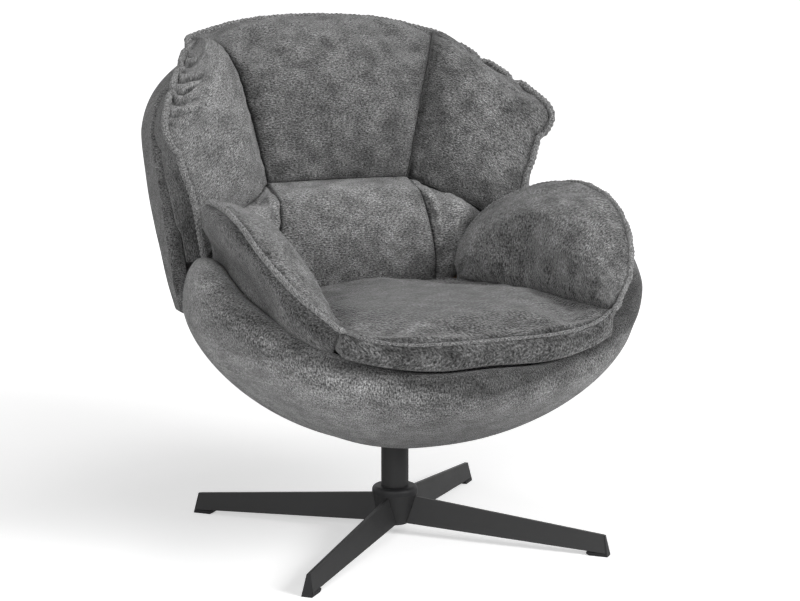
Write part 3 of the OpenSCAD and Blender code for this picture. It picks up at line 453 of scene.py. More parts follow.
def make_strap(name):
    """Woven elastic strap: the higher of two crossed waves gives over and under threads."""
    mat, shader, add, link = new_material(name)
    place = add("ShaderNodeTexCoord").outputs["Object"]
    threads = []
    for axis in "XY":
        wave = add("ShaderNodeTexWave", Scale=160.0, Distortion=0.4, bands_direction=axis)
        link(place, wave.inputs["Vector"])
        threads.append(wave.outputs["Fac"])
    weave = combined(add, link, *threads, "MAXIMUM")
    link(ramp(add, link, weave, 0.2, 1.0, grey(0.015), grey(0.06)), shader.inputs["Base Color"])
    emboss(add, link, shader, weave, 0.5, 0.0005)
    shader.inputs["Roughness"].default_value = 0.8
    return mat


birch = make_wood("birch")
strap = make_strap("strap")

# %% Hard parts take their finish
FINISH = {
    steel_black: ("base_hub", "leg_", "base_column", "swivel_plate"),
    plastic_black: ("foot_", "hub_collar", "lower_bush", "upper_bush"),
    zinc: ("bearing_", "spindle", "retaining_", "plate_bolts", "tee_nuts"),
    birch: ("mounting_disc", "rib_frame", "seat_deck", "tub_shell", "back_panel", "back_cleat"),
    strap: ("seat_webbing",),
}
for material, starts in FINISH.items():
    for name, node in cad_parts.items():
        if name.startswith(starts):
            node.data.materials.clear()
            node.data.materials.append(material)
            print(name, "->", material.name)

# %% [markdown]
# ## The tub
# The tub is one padded bowl that wraps under, in front of and beside the sitter, with a fat rolled rim.
# Its outline from above is a superellipse, |x/a|^p + |y/b|^p = 1, and so is its wall in section. Going
# round gives one parameter and going up the wall, over the rim and down inside gives the other. The
# cloth's rim is a little wider than the CAD's, most of all beside the arm pads, where it bulges.

# %% Tub outline
TUB_W, TUB_FRONT, TUB_BACK, TUB_FORWARD = 818, 294, 412, 110
TUB_LOW, TUB_WAIST, RIM_T, PAD_T, SHELL_T = 167, 442, 54, 20, 8
RIM_FRONT, RIM_SIDE, RIM_BACK = 368, 515, 438
PLAN_POWER, WALL_POWER, REAR_FILL = 1.7, 1.59, 0.14
RIM_BULGE, ROLL_OUT, ROLL_IN = 16, 32, 28
HOLE_R, HOLE_MID, FLOOR_R, PAD_LOW, SLOT = 30, 182, 80, 194.5, 26
TUB_INNER = PAD_T + SHELL_T + SOFT_GAP
SHELL_INNER_LOW = 214


def side_turn(t):
    """Turn from the front in degrees, the same on both sides."""
    a = np.abs(t)
    return np.where(a > 180, 360 - a, a)


def plan(t, off):
    """Widest outline at turn t, moved in by off: a superellipse, fuller at the rear corners."""
    a = side_turn(t)
    full = 1 + REAR_FILL * smooth(115, 148, a) * (1 - smooth(148, 182, a))
    s, c = np.sin(np.radians(t)), np.cos(np.radians(t))
    depth = np.where(c > 0, TUB_FRONT, TUB_BACK) - off
    x = (TUB_W / 2 - off) * spow(s, 2 / PLAN_POWER)
    y = -TUB_FORWARD - depth * spow(c, 2 / PLAN_POWER)
    return full * x, full * y


def rim_z(t):
    """Height of the rim's crest at turn t, through nine heights from the front to the back."""
    rise = RIM_SIDE - RIM_FRONT
    drop = RIM_SIDE - RIM_BACK
    heights = [RIM_FRONT, RIM_FRONT, RIM_FRONT + 0.24 * rise, RIM_FRONT + 0.66 * rise, RIM_SIDE + 4,
               RIM_BACK + 0.95 * drop, RIM_BACK + 0.32 * drop, RIM_BACK, RIM_BACK]
    return along(heights, side_turn(t) / 180)


def rim_t(t):
    """Width of the rolled rim: fattest beside the arm pads."""
    a = side_turn(t)
    return RIM_T + RIM_BULGE * smooth(28, 60, a) * (1 - smooth(112, 140, a))


def waist_z(t):
    """Height below which the wall draws in."""
    return np.minimum(TUB_WAIST, rim_z(t) - ROLL_OUT)


def wall(t, q, off, low):
    """Wall below the waist: q is 0 at the bottom and 1 at the waist, a superellipse in section."""
    x, y = plan(t, off)
    g = np.sin(np.radians(90 * q)) ** (2 / WALL_POWER)
    z = mix(waist_z(t), low, np.cos(np.radians(90 * q)) ** (2 / WALL_POWER))
    return points(x * g, y * g, z)


def lip(t, off, z):
    """A point straight above the outline moved in by off."""
    x, y = plan(t, off)
    return points(x, y, z)


# %% Tub cover
def tub_cover():
    """Closed ring: sections go under the tub, up the wall, over the rim and back down inside."""
    t = np.linspace(-180, 180, 241)
    x, y = plan(t, 0)
    ahead = unit(points(x, y, 0 * t))
    zr, zw = rim_z(t), waist_z(t)

    def at_radius(r, z):
        return ahead * r + points(0 * t, 0 * t, 0 * t + z)

    rows = [at_radius(HOLE_R, PAD_LOW), at_radius(HOLE_R, HOLE_MID), at_radius(HOLE_R + 1, TUB_LOW + 2)]
    rows += [wall(t, q, 0, TUB_LOW) for q in np.linspace(0.13, 1, 26)]
    for a in np.linspace(12, 168, 14):
        s, c = math.sin(math.radians(a)), math.cos(math.radians(a))
        rows.append(lip(t, rim_t(t) / 2 * (1 - c), mix(zr - ROLL_IN if a > 90 else zw, zr, s)))
    rows += [lip(t, rim_t(t), zr - ROLL_IN), lip(t, rim_t(t), zw)]
    rows += [lip(t, TUB_INNER + SOFT_GAP, zw), lip(t, TUB_INNER + SOFT_GAP, zr - SLOT)]
    rows += [lip(t, PAD_T, zr - SLOT)]
    rows += [wall(t, q, PAD_T, PAD_LOW) for q in np.linspace(1, 0.44, 8)]
    rows += [at_radius(FLOOR_R, PAD_LOW)]
    return np.stack(rows + rows[:1])


def ring_piece(name, sections, round_about):
    """Mesh of a closed ring: both directions of the grid join up again. Its cloth is measured up the
    sections and, round about, by the turn, so that the pile always lies along the sections."""
    n, m = sections.shape[0] - 1, sections.shape[1] - 1
    cloth = arcs(sections)
    cloth[..., 0] = np.linspace(-round_about / 2, round_about / 2, m + 1)
    ids = np.pad(np.arange(n * m).reshape(n, m), ((0, 1), (0, 1)), mode="wrap")
    return piece(name, sections[:-1, :-1].reshape(-1, 3), cells(ids), cells(cloth))


TUB_ROUND = 2300
tub = ring_piece("tub_cover", tub_cover(), TUB_ROUND)
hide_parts("tub_padding")
print("tub cover:", len(tub.data.vertices), "points")

# %% [markdown]
# ## The back shell
# Behind the cushions stands a padded shell, bent round the sitter and hugging the tub's rear wall. Its
# plan is again a superellipse, its upper corners turn inwards, and its edge is a soft roll. Its side
# edges run a little further forward than the CAD's, to cover the edge of the plywood behind the wings.

# %% Back shell
BACK_TOP, BACK_W, BACK_HEM, BACK_REACH, BACK_SLOPE, BACK_T = 872, 740, 372, 328, 0.17, 29
BACK_POWER, BACK_TURN, CORNER_K, HEM_RISE = 2.5, 640, 0.93, 24
BACK_FLAP, FLAP_TOP, FLAP_SHARE = 54, 18, 0.875
HEM_T, HEM_CORNER, ROLL_DROP, CORNER_DROP = 9, 26, 6, 1.04
EDGE_Y, EDGE_SHIFT = 147, 101
BACK_WIDTHS = [0.9, 0.943, 0.954, 0.963, 0.981, 1]


def back_y(z):
    """Outer face of the back shell on the centre line: a straight slope."""
    return BACK_REACH + BACK_SLOPE * (z - BACK_HEM)


def back_point(u, v, inner):
    """Point of the shell: u across from -1 to 1, v up from -1 at the hem to 1 at the top.
    The width follows BACK_WIDTHS up the shell, the depth of the bend is a superellipse in u, and past
    FLAP_SHARE of the half width the sides run straight forward to meet the wings."""
    turn = np.pi / 2 * np.minimum(np.abs(u) / FLAP_SHARE, 1)
    ahead = np.maximum(np.abs(u) - FLAP_SHARE, 0) / (1 - FLAP_SHARE)
    s = np.sign(u) * np.sin(turn) ** (2 / BACK_POWER)
    c = 1 - np.maximum(np.cos(turn), 0) ** (2 / BACK_POWER)
    lift = np.maximum(v, 0)
    hem = BACK_HEM + HEM_RISE * np.abs(s) ** 6 + HEM_CORNER * smooth(0.9, 1, np.abs(u))
    low = mix(BACK_TURN, hem, -v)
    high = BACK_TURN + (BACK_TOP - BACK_TURN) * v * np.sqrt(1 - CORNER_DROP * CORNER_K * s * s / 2)
    z = np.where(v < 0, low, high)
    off = mix(HEM_T, BACK_T, smooth(BACK_HEM, BACK_HEM + 110, z)) if inner else 0
    share = np.clip((z - BACK_HEM) / (700 - BACK_HEM), 0, 1)
    half = BACK_W / 2 * along(BACK_WIDTHS, share)
    half = (half - off) * np.sqrt(1 - CORNER_K * lift**3 / 2)
    edge_y = EDGE_Y + EDGE_SHIFT * smooth(400, 600, z)
    depth = (back_y(z) - edge_y) * (1 - 0.55 * lift**2.5) - off
    flap = BACK_FLAP * smooth(400, 600, z) * (1 - smooth(600, 780, z)) + FLAP_TOP * smooth(620, 740, z)
    y = back_y(z) - off - depth * c - flap * ahead
    return points(half * s, y, z - (ROLL_DROP * lift if inner else 0))


v, u = grid(72, 96)
outer = back_point(1 - 2 * u, 2 * v - 1, False)
inner = back_point(1 - 2 * u, 2 * v - 1, True)
rings = band_rings(rim_of(outer), rim_of(inner), outward(outer), side_shares(outer, 6, 6, 6, 3), 7)
back = cushion("back_cover", outer, inner, rings)
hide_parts("back_shell")

# %% [markdown]
# ## Places that the cushions share
# The cushions meet along sewn lines. These lines start from the control points of the CAD source, and
# only the outer seams of the arm pads and the wings are drawn finer here, so each cushion stays in its
# own space. The plywood panel and the tub bound them at the back and below.

# %% Shared lines
SEAT_Z, SEAT_FRONT, SEAT_DEPTH, SEAT_REAR_W, SEAT_FRONT_W = 415, 385, 552, 364, 470
CORNER_RISE, SEAT_CROWN, DECK_TOP, CUSHION_LOW = 24, 24, 327, 330.4
ARM_TOP, ARM_SPAN, ARM_CROWN, BAND_BULGE = 608, 748, 56, 9
HEAD_TOP_Z, CREASE_Z, CREASE_W, HEAD_W, WING_SPAN, WING_Z = 893, 598, 276, 486, 740, 720
HEAD_CROWN, WING_CROWN, LUMBAR_CROWN = 24, 24, 20
SEAT_REAR = SEAT_DEPTH - SEAT_FRONT
CREASE_HALF, CREASE_Y, HEAD_HALF, WING_HALF = CREASE_W / 2, 253, HEAD_W / 2, WING_SPAN / 2
PANEL_GAP, PANEL_REAR_GAP, PANEL_BEND, PANEL_RISE, PANEL_T = 3, 0.4, 175, 190, 9
RIM_CLEAR = 8


def wall_share(t, low, z):
    """How far out the tub's inner wall stands at height z, as a share of its outline."""
    h = np.clip((waist_z(t) - z) / (waist_z(t) - low), 0, 1)
    return (1 - h**WALL_POWER) ** (1 / WALL_POWER)


def panel_y(x, z):
    """Front face of the plywood back panel over a point."""
    share = np.clip(np.abs(x) / (BACK_W / 2 - BACK_T), 0, 0.985)
    bend = 1 - (1 - share**BACK_POWER) ** (1 / BACK_POWER)
    narrow = wall_share(180.0, SHELL_INNER_LOW, z)
    rear_x, rear_y = plan(np.arange(180.0, 99, -4), RIM_T + PANEL_GAP)
    low_y = narrow * np.interp(np.abs(x) / narrow, rear_x, rear_y)
    high_y = back_y(z) - BACK_T - PANEL_REAR_GAP - PANEL_BEND * bend
    return mix(low_y, high_y, smooth(RIM_BACK - 10, RIM_BACK + PANEL_RISE, z)) - PANEL_T


def turn_of(p):
    """Turn of the tub's outline nearest a point."""
    dy = p[..., 1] + TUB_FORWARD
    depth = np.where(dy < 0, TUB_FRONT, TUB_BACK)
    return np.degrees(np.arctan2(spow(p[..., 0] / (TUB_W / 2), PLAN_POWER / 2),
                                 spow(-dy / depth, PLAN_POWER / 2)))


def tucked(p, off):
    """Points drawn towards the tub's middle, where needed, to stay inside its outline less off."""
    dy = p[..., 1] + TUB_FORWARD
    share_x = np.abs(p[..., 0]) / (TUB_W / 2 - off)
    share_y = np.abs(dy) / (np.where(dy < 0, TUB_FRONT, TUB_BACK) - off)
    k = np.maximum(1, (share_x**PLAN_POWER + share_y**PLAN_POWER) ** (1 / PLAN_POWER))
    return points(p[..., 0] / k, -TUB_FORWARD + dy / k, p[..., 2])


def front_at(x, off):
    """Front of the outline less off, straight in front of x."""
    share = np.clip(np.abs(x) / (TUB_W / 2 - off), 0, 1)
    return -TUB_FORWARD - (TUB_FRONT - off) * (1 - share**PLAN_POWER) ** (1 / PLAN_POWER)


def tucked_back(p, off):
    """As tucked, but near the seat's front corners drawn straight back."""
    straight = points(p[..., 0], np.maximum(p[..., 1], front_at(p[..., 0], off)), p[..., 2])
    return mix(straight, tucked(p, off), smooth(290, 350, np.abs(p[..., 0]))[..., None])


def moved(p, x=0.0, y=0.0, z=0.0):
    """Points moved by x, y and z."""
    return np.asarray(p, float) + np.array([x, y, z])


def mirrored(p):
    """Points on the other side of the chair."""
    return np.asarray(p, float) * np.array([-1.0, 1, 1])


# %% [markdown]
# ## Covers and their mirror images
# Every cushion goes through the same steps: a closed cover takes the place of its CAD solid, and a list
# keeps it for the cloth simulation. The chair is symmetric, so a right cover also gives the left one.

# %% Stuffed covers
stuffed = []


def cover_for(node, name, front, hind, rings):
    """A cushion that stands for a CAD node and takes part in the settling further down."""
    obj = cushion(name, front, hind, rings)
    stuffed.append((obj, front.shape[0] - 1, front.shape[1] - 1))
    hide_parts(node)
    return obj


def both_sides(name, node, front, hind, rings):
    """A right cover and its mirror image on the left. The mirrored grids run the other way along their
    rows, so that their faces still look outwards. So does the mirrored border, which then starts at the
    other corner: its point k is the right one's point n + m + n - k, counted round."""
    made = {"right": cover_for(f"{node}_right", f"{name}_right", front, hind, rings)}
    n, m = front.shape[0] - 1, front.shape[1] - 1
    order = (n + m + n - np.arange(2 * (n + m))) % (2 * (n + m))
    grids = [mirrored(g)[:, ::-1] for g in (front, hind)]
    made["left"] = cover_for(f"{node}_left", f"{name}_left", *grids, [mirrored(r)[order] for r in rings])
    return made


# %% [markdown]
# ## The seat cushion
# A box cushion with a crowned top: its front band hangs over the tub's rim, its corners rise a little
# towards the arm pads, and below the band it draws in to the deck.

# %% Seat cushion
REAR_BOW, FRONT_BOW, SIDE_BOW = 20, 45, 12
BAND_LAP, BAND_LEAST, NECK_IN, NECK_DROP = 6, 20, 4, 5


def seat_edge(w, v):
    """Top seam surface of the seat, w across from -1 to 1 and v from the back to the front: straight
    between a rear and a front edge that bow with powers of w, and bowed out at the sides."""
    rear = points(w * SEAT_REAR_W / 2, SEAT_REAR - REAR_BOW * w * w, SEAT_Z + 2 + 4 * w * w)
    front = points(w * SEAT_FRONT_W / 2, -SEAT_FRONT + FRONT_BOW * np.abs(w) ** 3,
                   SEAT_Z + CORNER_RISE * np.abs(w) ** 5)
    bow = points(w * SIDE_BOW * 4 * v * (1 - v), 0 * w, 0 * w)
    return mix(rear, front, np.asarray(v)[..., None]) + bow


v, u = grid(56, 56)
w = 2 * u - 1
top = seat_edge(w, 1 - v)
rear, front = seat_edge(w, 0 * v), seat_edge(w, 0 * v + 1)
reach = (rear[..., 1] - front_at(front[..., 0], RIM_T + RIM_CLEAR)) / (rear[..., 1] - front[..., 1])
bottom = seat_edge(w, (1 - v) * np.minimum(1, reach))
bottom = points(bottom[..., 0], bottom[..., 1] - 6 * v, CUSHION_LOW)
seam = rim_of(top)
rest = np.minimum(rim_z(turn_of(seam)) + BAND_LAP, seam[:, 2] - BAND_LEAST)
low = points(seam[:, 0], seam[:, 1], rest)
neck = tucked(moved(low, z=-NECK_DROP), RIM_T + NECK_IN)
out = outward(top) * np.array([1, 1, 0])
rings = band_rings(seam, low, out, 5, 6)
rings += [low + out * 2, mix(low, neck, 0.5), neck, mix(neck, rim_of(bottom), 0.5)]
face = crowned(top, mix(SEAT_CROWN - 4, SEAT_CROWN - 13, smooth(0.3, 0.9, v)), 0.55, 0.55)
seat = cover_for("seat_cushion", "seat_cushion_cover", face, bottom, rings)

# %% [markdown]
# ## The arm pads
# Each arm pad is a petal: a full inner face between the seat and a sewn outer seam that climbs from
# the back, over the top and down to the front corner. Outside the seam a band bulges out, most of all
# in front of its middle, and then drops into the tub behind the rim.

# %% Arm pad seams
ARM_SEAM = [[0.02, 0.985, 0.12], [0.06, 0.965, 0.40], [0.26, 0.915, 0.70], [0.58, 0.81, 0.91],
            [0.79, 0.66, 0.98], [0.79, 0.50, 0.96], [0.765, 0.35, 0.86], [0.67, 0.215, 0.65],
            [0.43, 0.09, 0.39], [0.08, 0.005, 0.155]]
BAND_FULL, FOOT_LIFT, BAND_REST = 32, 6, 66


def arm_seam(u):
    """Outer seam of an arm pad from shares of the way out, back and up."""
    s = along(ARM_SEAM, u)
    side_x = mix(SEAT_REAR_W, SEAT_FRONT_W, 1 - s[..., 1]) / 2 + SOFT_GAP
    return points(mix(side_x, ARM_SPAN / 2, s[..., 0]),
                  mix(-SEAT_FRONT + FRONT_BOW, SEAT_REAR - REAR_BOW, s[..., 1]),
                  mix(SEAT_Z, ARM_TOP, s[..., 2]))


def arm_root(u):
    """Inner edge of an arm pad, along the seat cushion."""
    return moved(seat_edge(np.ones_like(u), mix(0.03, 0.985, u)), SOFT_GAP + 1, 0, 3)


# %% Arm pads
v, u = grid(44, 72)
root, seam = arm_root(u), arm_seam(u)
face = mix(root, seam, v[..., None])
foot = points(root[..., 0], root[..., 1], DECK_TOP + SOFT_GAP + FOOT_LIFT)
inner = tucked_back(foot, RIM_T + RIM_CLEAR)
rise = smooth(0.2, 0.9, (seam[..., 2] - SEAT_Z) / (ARM_TOP - SEAT_Z))
low_z = np.minimum(mix(DECK_TOP + 20, RIM_SIDE - BAND_REST, rise), rim_z(turn_of(seam)) - 30)
outer = tucked_back(points(seam[..., 0], seam[..., 1], low_z), rim_t(turn_of(seam)) + 6)
under = mix(inner, outer, v[..., None])
edge, edge_low, out = rim_of(face), rim_of(under), outward(face)
full = BAND_BULGE + BAND_FULL * smooth(0.03, 0.22, u[0]) * (1 - smooth(0.46, 0.85, u[0]))
bulge = np.concatenate([v[:-1, 0] * 0 + 1, full[:-1], (7 * v[:0:-1, 0]) + 1, 0 * u[0, :0:-1]])
middle = (edge + edge_low) / 2 + out * bulge[:, None]
z = np.maximum(middle[:, 2], np.minimum(rim_z(turn_of(middle)) - 1, edge[:, 2] - 15))
low = points(middle[:, 0], middle[:, 1], z)
neck = points(low[:, 0], low[:, 1], np.minimum(z - 4, rim_z(turn_of(low)) - 5))
neck = tucked_back(neck, rim_t(turn_of(low)) + 2)
rings = band_rings(edge, low, out, bulge * 0.35, 7) + [low, mix(low, neck, 0.5), neck]
arm_face = crowned(face, ARM_CROWN - 10, mix(0.5, 0.8, smooth(0.6, 1, v)), 0.7)
arm_pieces = both_sides("arm_pad_cover", "arm_pad", arm_face, under, rings)

# %% [markdown]
# ## Headrest, wings and lumbar cushions
# The upper back is a headrest with a wing on each side, the lower back a lumbar cushion with a small
# pad on each side. Coons patches between their seams give the panels, and a swell along the normals
# fills them. The headrest's top is a little lower than the CAD's, because its piping stands on it.

# %% Seams of the back cushions
CORD_ROOM, CORNER_ROOM = 6, 8
CREASE_CORNER = [CREASE_HALF, CREASE_Y, CREASE_Z]
HEAD_SEAM = np.array([
    CREASE_CORNER,
    [mix(CREASE_HALF, HEAD_HALF, 0.28), CREASE_Y + 9, mix(CREASE_Z, HEAD_TOP_Z, 0.44)],
    [mix(CREASE_HALF, HEAD_HALF, 0.62), CREASE_Y + 38, mix(CREASE_Z, HEAD_TOP_Z, 0.80)],
    [HEAD_HALF - 3, CREASE_Y + 115, HEAD_TOP_Z - 30 - CORNER_ROOM]])
HEAD_ARCH = np.array([
    [-HEAD_HALF * 0.52, CREASE_Y + 131, HEAD_TOP_Z - 6 - CORD_ROOM],
    [0, CREASE_Y + 138, HEAD_TOP_Z - CORD_ROOM],
    [HEAD_HALF * 0.52, CREASE_Y + 131, HEAD_TOP_Z - 6 - CORD_ROOM]])
WING_FOOT = [WING_HALF * 0.81, 128, CREASE_Z - 93]
WING_SEAM = np.array([
    [WING_HALF * 0.855, 132, CREASE_Z - 8], [WING_HALF * 0.915, 130, CREASE_Z + 52],
    [WING_HALF, 125, WING_Z], [WING_HALF * 0.885, 216, mix(WING_Z, HEAD_TOP_Z, 0.34)],
    [WING_HALF * 0.714, 327, mix(WING_Z, HEAD_TOP_Z, 0.68)]])
WING_LOW = np.array([
    [CREASE_HALF + 40, CREASE_Y - 42, CREASE_Z - 20], [CREASE_HALF + 104, CREASE_Y - 84, CREASE_Z - 54]])
LUMBAR_SEAM = np.array([
    [CREASE_HALF + 22, SEAT_REAR + 4, SEAT_Z - 4],
    [CREASE_HALF + 19, SEAT_REAR + 1, mix(SEAT_Z, CREASE_Z, 0.25)],
    [CREASE_HALF + 8, SEAT_REAR + 4, mix(SEAT_Z, CREASE_Z, 0.6)],
    [CREASE_HALF + 1, mix(SEAT_REAR, CREASE_Y, 0.33), mix(SEAT_Z, CREASE_Z, 0.86)],
    [CREASE_HALF, CREASE_Y, CREASE_Z - 4]])
print("top seam of the headrest at", HEAD_ARCH[1, 2], "mm")

# %% Headrest
side = moved(HEAD_SEAM, -SOFT_GAP, 0, SOFT_GAP)
low = [mirrored(side[0]), [0, CREASE_Y + 8, CREASE_Z + SOFT_GAP], side[0]]
top = [mirrored(side[3]), *HEAD_ARCH, side[3]]
front = patch(low, top, mirrored(side), side, 56, 64)
x, z = front[..., 0] * 0.99, mix(CREASE_Z, front[..., 2], 0.97)
hind = points(x, np.maximum(panel_y(x, z) - PANEL_GAP, front[..., 1] + 5), z)
rings = band_rings(rim_of(front), rim_of(hind), outward(front), 2.0, 2)
head_face = crowned(front, HEAD_CROWN - 5, 0.6, 0.9)
headrest = cover_for("headrest_centre", "headrest_cover", head_face, hind, rings)

# %% Lumbar cushion
side = moved(LUMBAR_SEAM, -SOFT_GAP, 0, 0)
low = [mirrored(side[0]), [0, SEAT_REAR + 20, SEAT_Z - 6], side[0]]
top = [mirrored(side[4]), [0, CREASE_Y + 8, CREASE_Z - 4], side[4]]
front = patch(low, top, mirrored(side), side, 48, 64)
v, u = grid(48, 64)
x, z = front[..., 0] * 0.98, mix(SEAT_Z - 40, CREASE_Z - 1, v)
hind = points(x, panel_y(x, z) - 2 * PANEL_GAP, z)
lumbar_face = crowned(front + points(0 * v, 0 * v, 4.2 * smooth(0.8, 1, v)), LUMBAR_CROWN - 2, 0.5, 0.6)
lumbar = cover_for("lumbar_centre", "lumbar_cover", lumbar_face, hind, [])

# %% [markdown]
# ### Wings
# A wing's outer seam is drawn in by the cord at four places, where it takes up the cloth that is eased
# in there. So the seam is moved across its own direction, in the plane of the panel, by a shallow
# scallop and a narrow bell curve at each of these notches. Behind the panel the wing is a few
# centimetres deep, and how far its hind edge stands out and back follows two rows of values.

# %% Wings
WING_OUT = [29, 28, 18, -2, -7, -7, -2]
WING_DEEP = [28, 38, 46, 62, 45, 30, 20]
NOTCHES = np.array([0.383, 0.640, 0.735, 0.825])
EDGE_LENGTH, NOTCH_WIDTH, NOTCH_IN, NOTCH_DROP, SCALLOP, WING_DROP = 526, 9, 6, 9, 4.0, 20

seam = moved(HEAD_SEAM, SOFT_GAP, 0, SOFT_GAP)
low = [seam[0], *WING_LOW, moved(WING_FOOT, z=-WING_DROP)]
tip = mix(seam[3], WING_SEAM[4], 0.3)
top = [seam[3], mix(seam[3], WING_SEAM[4], 0.15), tip]
front = patch(low, top, seam, [low[3], *WING_SEAM, tip], 180, 50)
v, u = grid(180, 50)
notch = np.exp(-((v[..., None] - NOTCHES) * EDGE_LENGTH / NOTCH_WIDTH) ** 2).sum(-1) * smooth(0.8, 1.0, u)
drawn_in = (SCALLOP * smooth(0.86, 1.0, u) + NOTCH_IN * notch) * smooth(0.28, 0.36, v)
drawn_in = drawn_in * (1 - smooth(0.9, 0.98, v))
front = front - points(0 * v, 0 * v, NOTCH_DROP * notch * smooth(0.55, 0.62, v))
ahead = unit(np.gradient(front[:, -1:], axis=0))
aside = front[:, -1:] - front[:, -4:-3]
front = front - unit(aside - (aside * ahead).sum(-1, keepdims=True) * ahead) * drawn_in[..., None]
x = np.minimum(front[..., 0], BACK_W / 2 - BACK_T - 8)
deep = front[..., 1] + mix(50, along(WING_DEEP, v), u)
y = np.maximum(front[..., 1] + 8, np.minimum(deep, panel_y(x, front[..., 2]) - PANEL_GAP))
hind = points(front[..., 0] + 4 * u + u * u * along(WING_OUT, v), y, front[..., 2] - 2)
rings = band_rings(rim_of(front), rim_of(hind), outward(front), side_shares(front, 0, 2, 3, 0), 5)
swell = crowned(front, WING_CROWN - 4, mix(0.55, 0.8, v), mix(0.5, 1.1, u))
wings = both_sides("wing_cover", "wing", swell, hind, rings)

# %% Small lumbar side pads
seam = moved(LUMBAR_SEAM, SOFT_GAP, 0, 0)
tip = moved(WING_FOOT, -14, 16, -30)
top = [seam[4], *moved(WING_LOW, 0, 1, -1.5), tip]
foot = moved(seam[0], 40, 10, 6)
low, outer = [seam[0], moved(seam[0], 20, 4, 2), foot], [foot, moved(seam[0], 62, 6, 50), tip]
front = patch(low, top, seam, outer, 40, 30)
y = np.minimum(front[..., 1] + 60, panel_y(front[..., 0], front[..., 2]) - PANEL_GAP)
hind = points(front[..., 0], np.maximum(front[..., 1] + 8, y), front[..., 2])
side_face = crowned(front, LUMBAR_CROWN * 0.7, 0.6, 0.6)
lumbar_sides = both_sides("lumbar_side_cover", "lumbar_side", side_face, hind, [])

# %% [markdown]
# ## Letting the cushions settle
# A worked-out surface is too even for a stuffed cushion. A short cloth simulation fixes that: every
# cover is held along its sewn seams and at its back, its cloth is a little larger than the space that
# it spans, and air pressure stands in for the stuffing. The cloth swells, wrinkles where it is gathered
# at the seams and comes to rest, and the result is kept as the mesh.

# %% Settling
def held_weights(obj, rows, cols, band_hold):
    """How firmly each point is held: seams and back fully, the bands by band_hold, the front freely."""
    count = (rows + 1) * (cols + 1)
    weight = np.full(len(obj.data.vertices), float(band_hold))
    inside = np.ones((rows + 1, cols + 1))
    inside[1:-1, 1:-1] = 0
    weight[:count] = inside.reshape(-1)
    weight[count:2 * count] = 1
    return weight


def vertices_of(mesh):
    """All points of a mesh as one array, in metres."""
    co = np.empty(len(mesh.vertices) * 3, np.float32)
    mesh.vertices.foreach_get("co", co)
    return co.reshape(-1, 3).astype(float)


def put_vertices(obj, co):
    """Write points back into a mesh."""
    obj.data.vertices.foreach_set("co", co.astype(np.float32).reshape(-1))
    obj.data.update()


def add_cloth(obj, weight, growth, pressure):
    """Cloth on a cover: pins from the weights, cloth larger by growth, and pressure from inside."""
    group = obj.vertex_groups.new(name="held")
    for level in np.unique(weight):
        group.add(np.flatnonzero(weight == level).tolist(), float(level), "REPLACE")
    cloth = obj.modifiers.new("cloth", "CLOTH")
    settings = cloth.settings
    settings.vertex_group_mass = "held"
    settings.effector_weights.gravity = 0
    settings.use_pressure = True
    settings.uniform_pressure_force = pressure
    settings.shrink_min = -growth
    settings.mass = 0.35
    settings.tension_stiffness = settings.compression_stiffness = 18
    settings.bending_stiffness = 0.8
    settings.air_damping = 2.0
    settings.quality = 4


# How much larger the cloth is, the pressure inside, and how firmly the bands are held
SOFTNESS = {
    "seat_cushion_cover": (0.020, 0.5, 0.8), "headrest_cover": (0.020, 0.5, 1.0),
    "lumbar_cover": (0.020, 0.5, 1.0), "wing_cover": (0.025, 0.5, 0.8),
    "lumbar_side_cover": (0.03, 0.5, 1.0), "arm_pad_cover": (0.020, 0.5, 0.8),
}
CAP, FRAMES = 0.016, 20


def settle(pieces):
    """Run the cloth of all covers together, then keep what moved, by CAP at the most."""
    for obj, rows, cols in pieces:
        growth, pressure, hold = next(v for k, v in SOFTNESS.items() if obj.name.startswith(k))
        add_cloth(obj, held_weights(obj, rows, cols, hold), growth, pressure)
    scene = bpy.context.scene
    for frame_number in range(1, FRAMES + 1):
        scene.frame_set(frame_number)
    depsgraph = bpy.context.evaluated_depsgraph_get()
    moved_to = {obj.name: vertices_of(obj.evaluated_get(depsgraph).data) for obj, _, _ in pieces}
    for obj, _, _ in pieces:
        start = vertices_of(obj.data)
        step = moved_to[obj.name] - start
        size = np.linalg.norm(step, axis=1, keepdims=True)
        step *= np.minimum(1, CAP / np.maximum(size, 1e-9))
        obj.modifiers.remove(obj.modifiers["cloth"])
        obj.vertex_groups.clear()
        put_vertices(obj, start + step)
        print(f"{obj.name}: moved {size.mean() * 1000:.1f} mm on average, {size.max() * 1000:.1f} at most")
    scene.frame_set(1)


settle(stuffed)

# %% [markdown]
# ## Gathers and wrinkles
# Where a seam is eased in, the cloth puckers: short folds stand across the seam and die out within a
# hand's breadth. They are heights along the normal of the cloth. On most covers they are a cosine of
# the distance along the seam, whose pace wavers, times a fade with the distance from it. The wings have
# few and deep gathers, so each has its own place, depth and length in a short table.

# %% Wrinkle helpers
def front_grid(obj, rows, cols):
    """The front panel of a cover as a grid in millimetres."""
    co = vertices_of(obj.data) / MM
    return co, co[:(rows + 1) * (cols + 1)].reshape(rows + 1, cols + 1, 3)


def folds(s, seed, spacing):
    """Uneven folds along s in millimetres: 1 less 1.6 times the cube of a raised cosine, whose pace
    wavers with two slow sines."""
    rng = np.random.default_rng(seed)
    a, b = rng.uniform(0, 6.28, 2)
    pace = s + 0.30 * spacing * np.sin(s / (1.7 * spacing) + a)
    pace = pace + 0.22 * spacing * np.sin(s / (0.9 * spacing) + b)
    wave = 0.5 + 0.5 * np.cos(2 * np.pi * pace / spacing)
    return 1 - wave**3 * 1.6


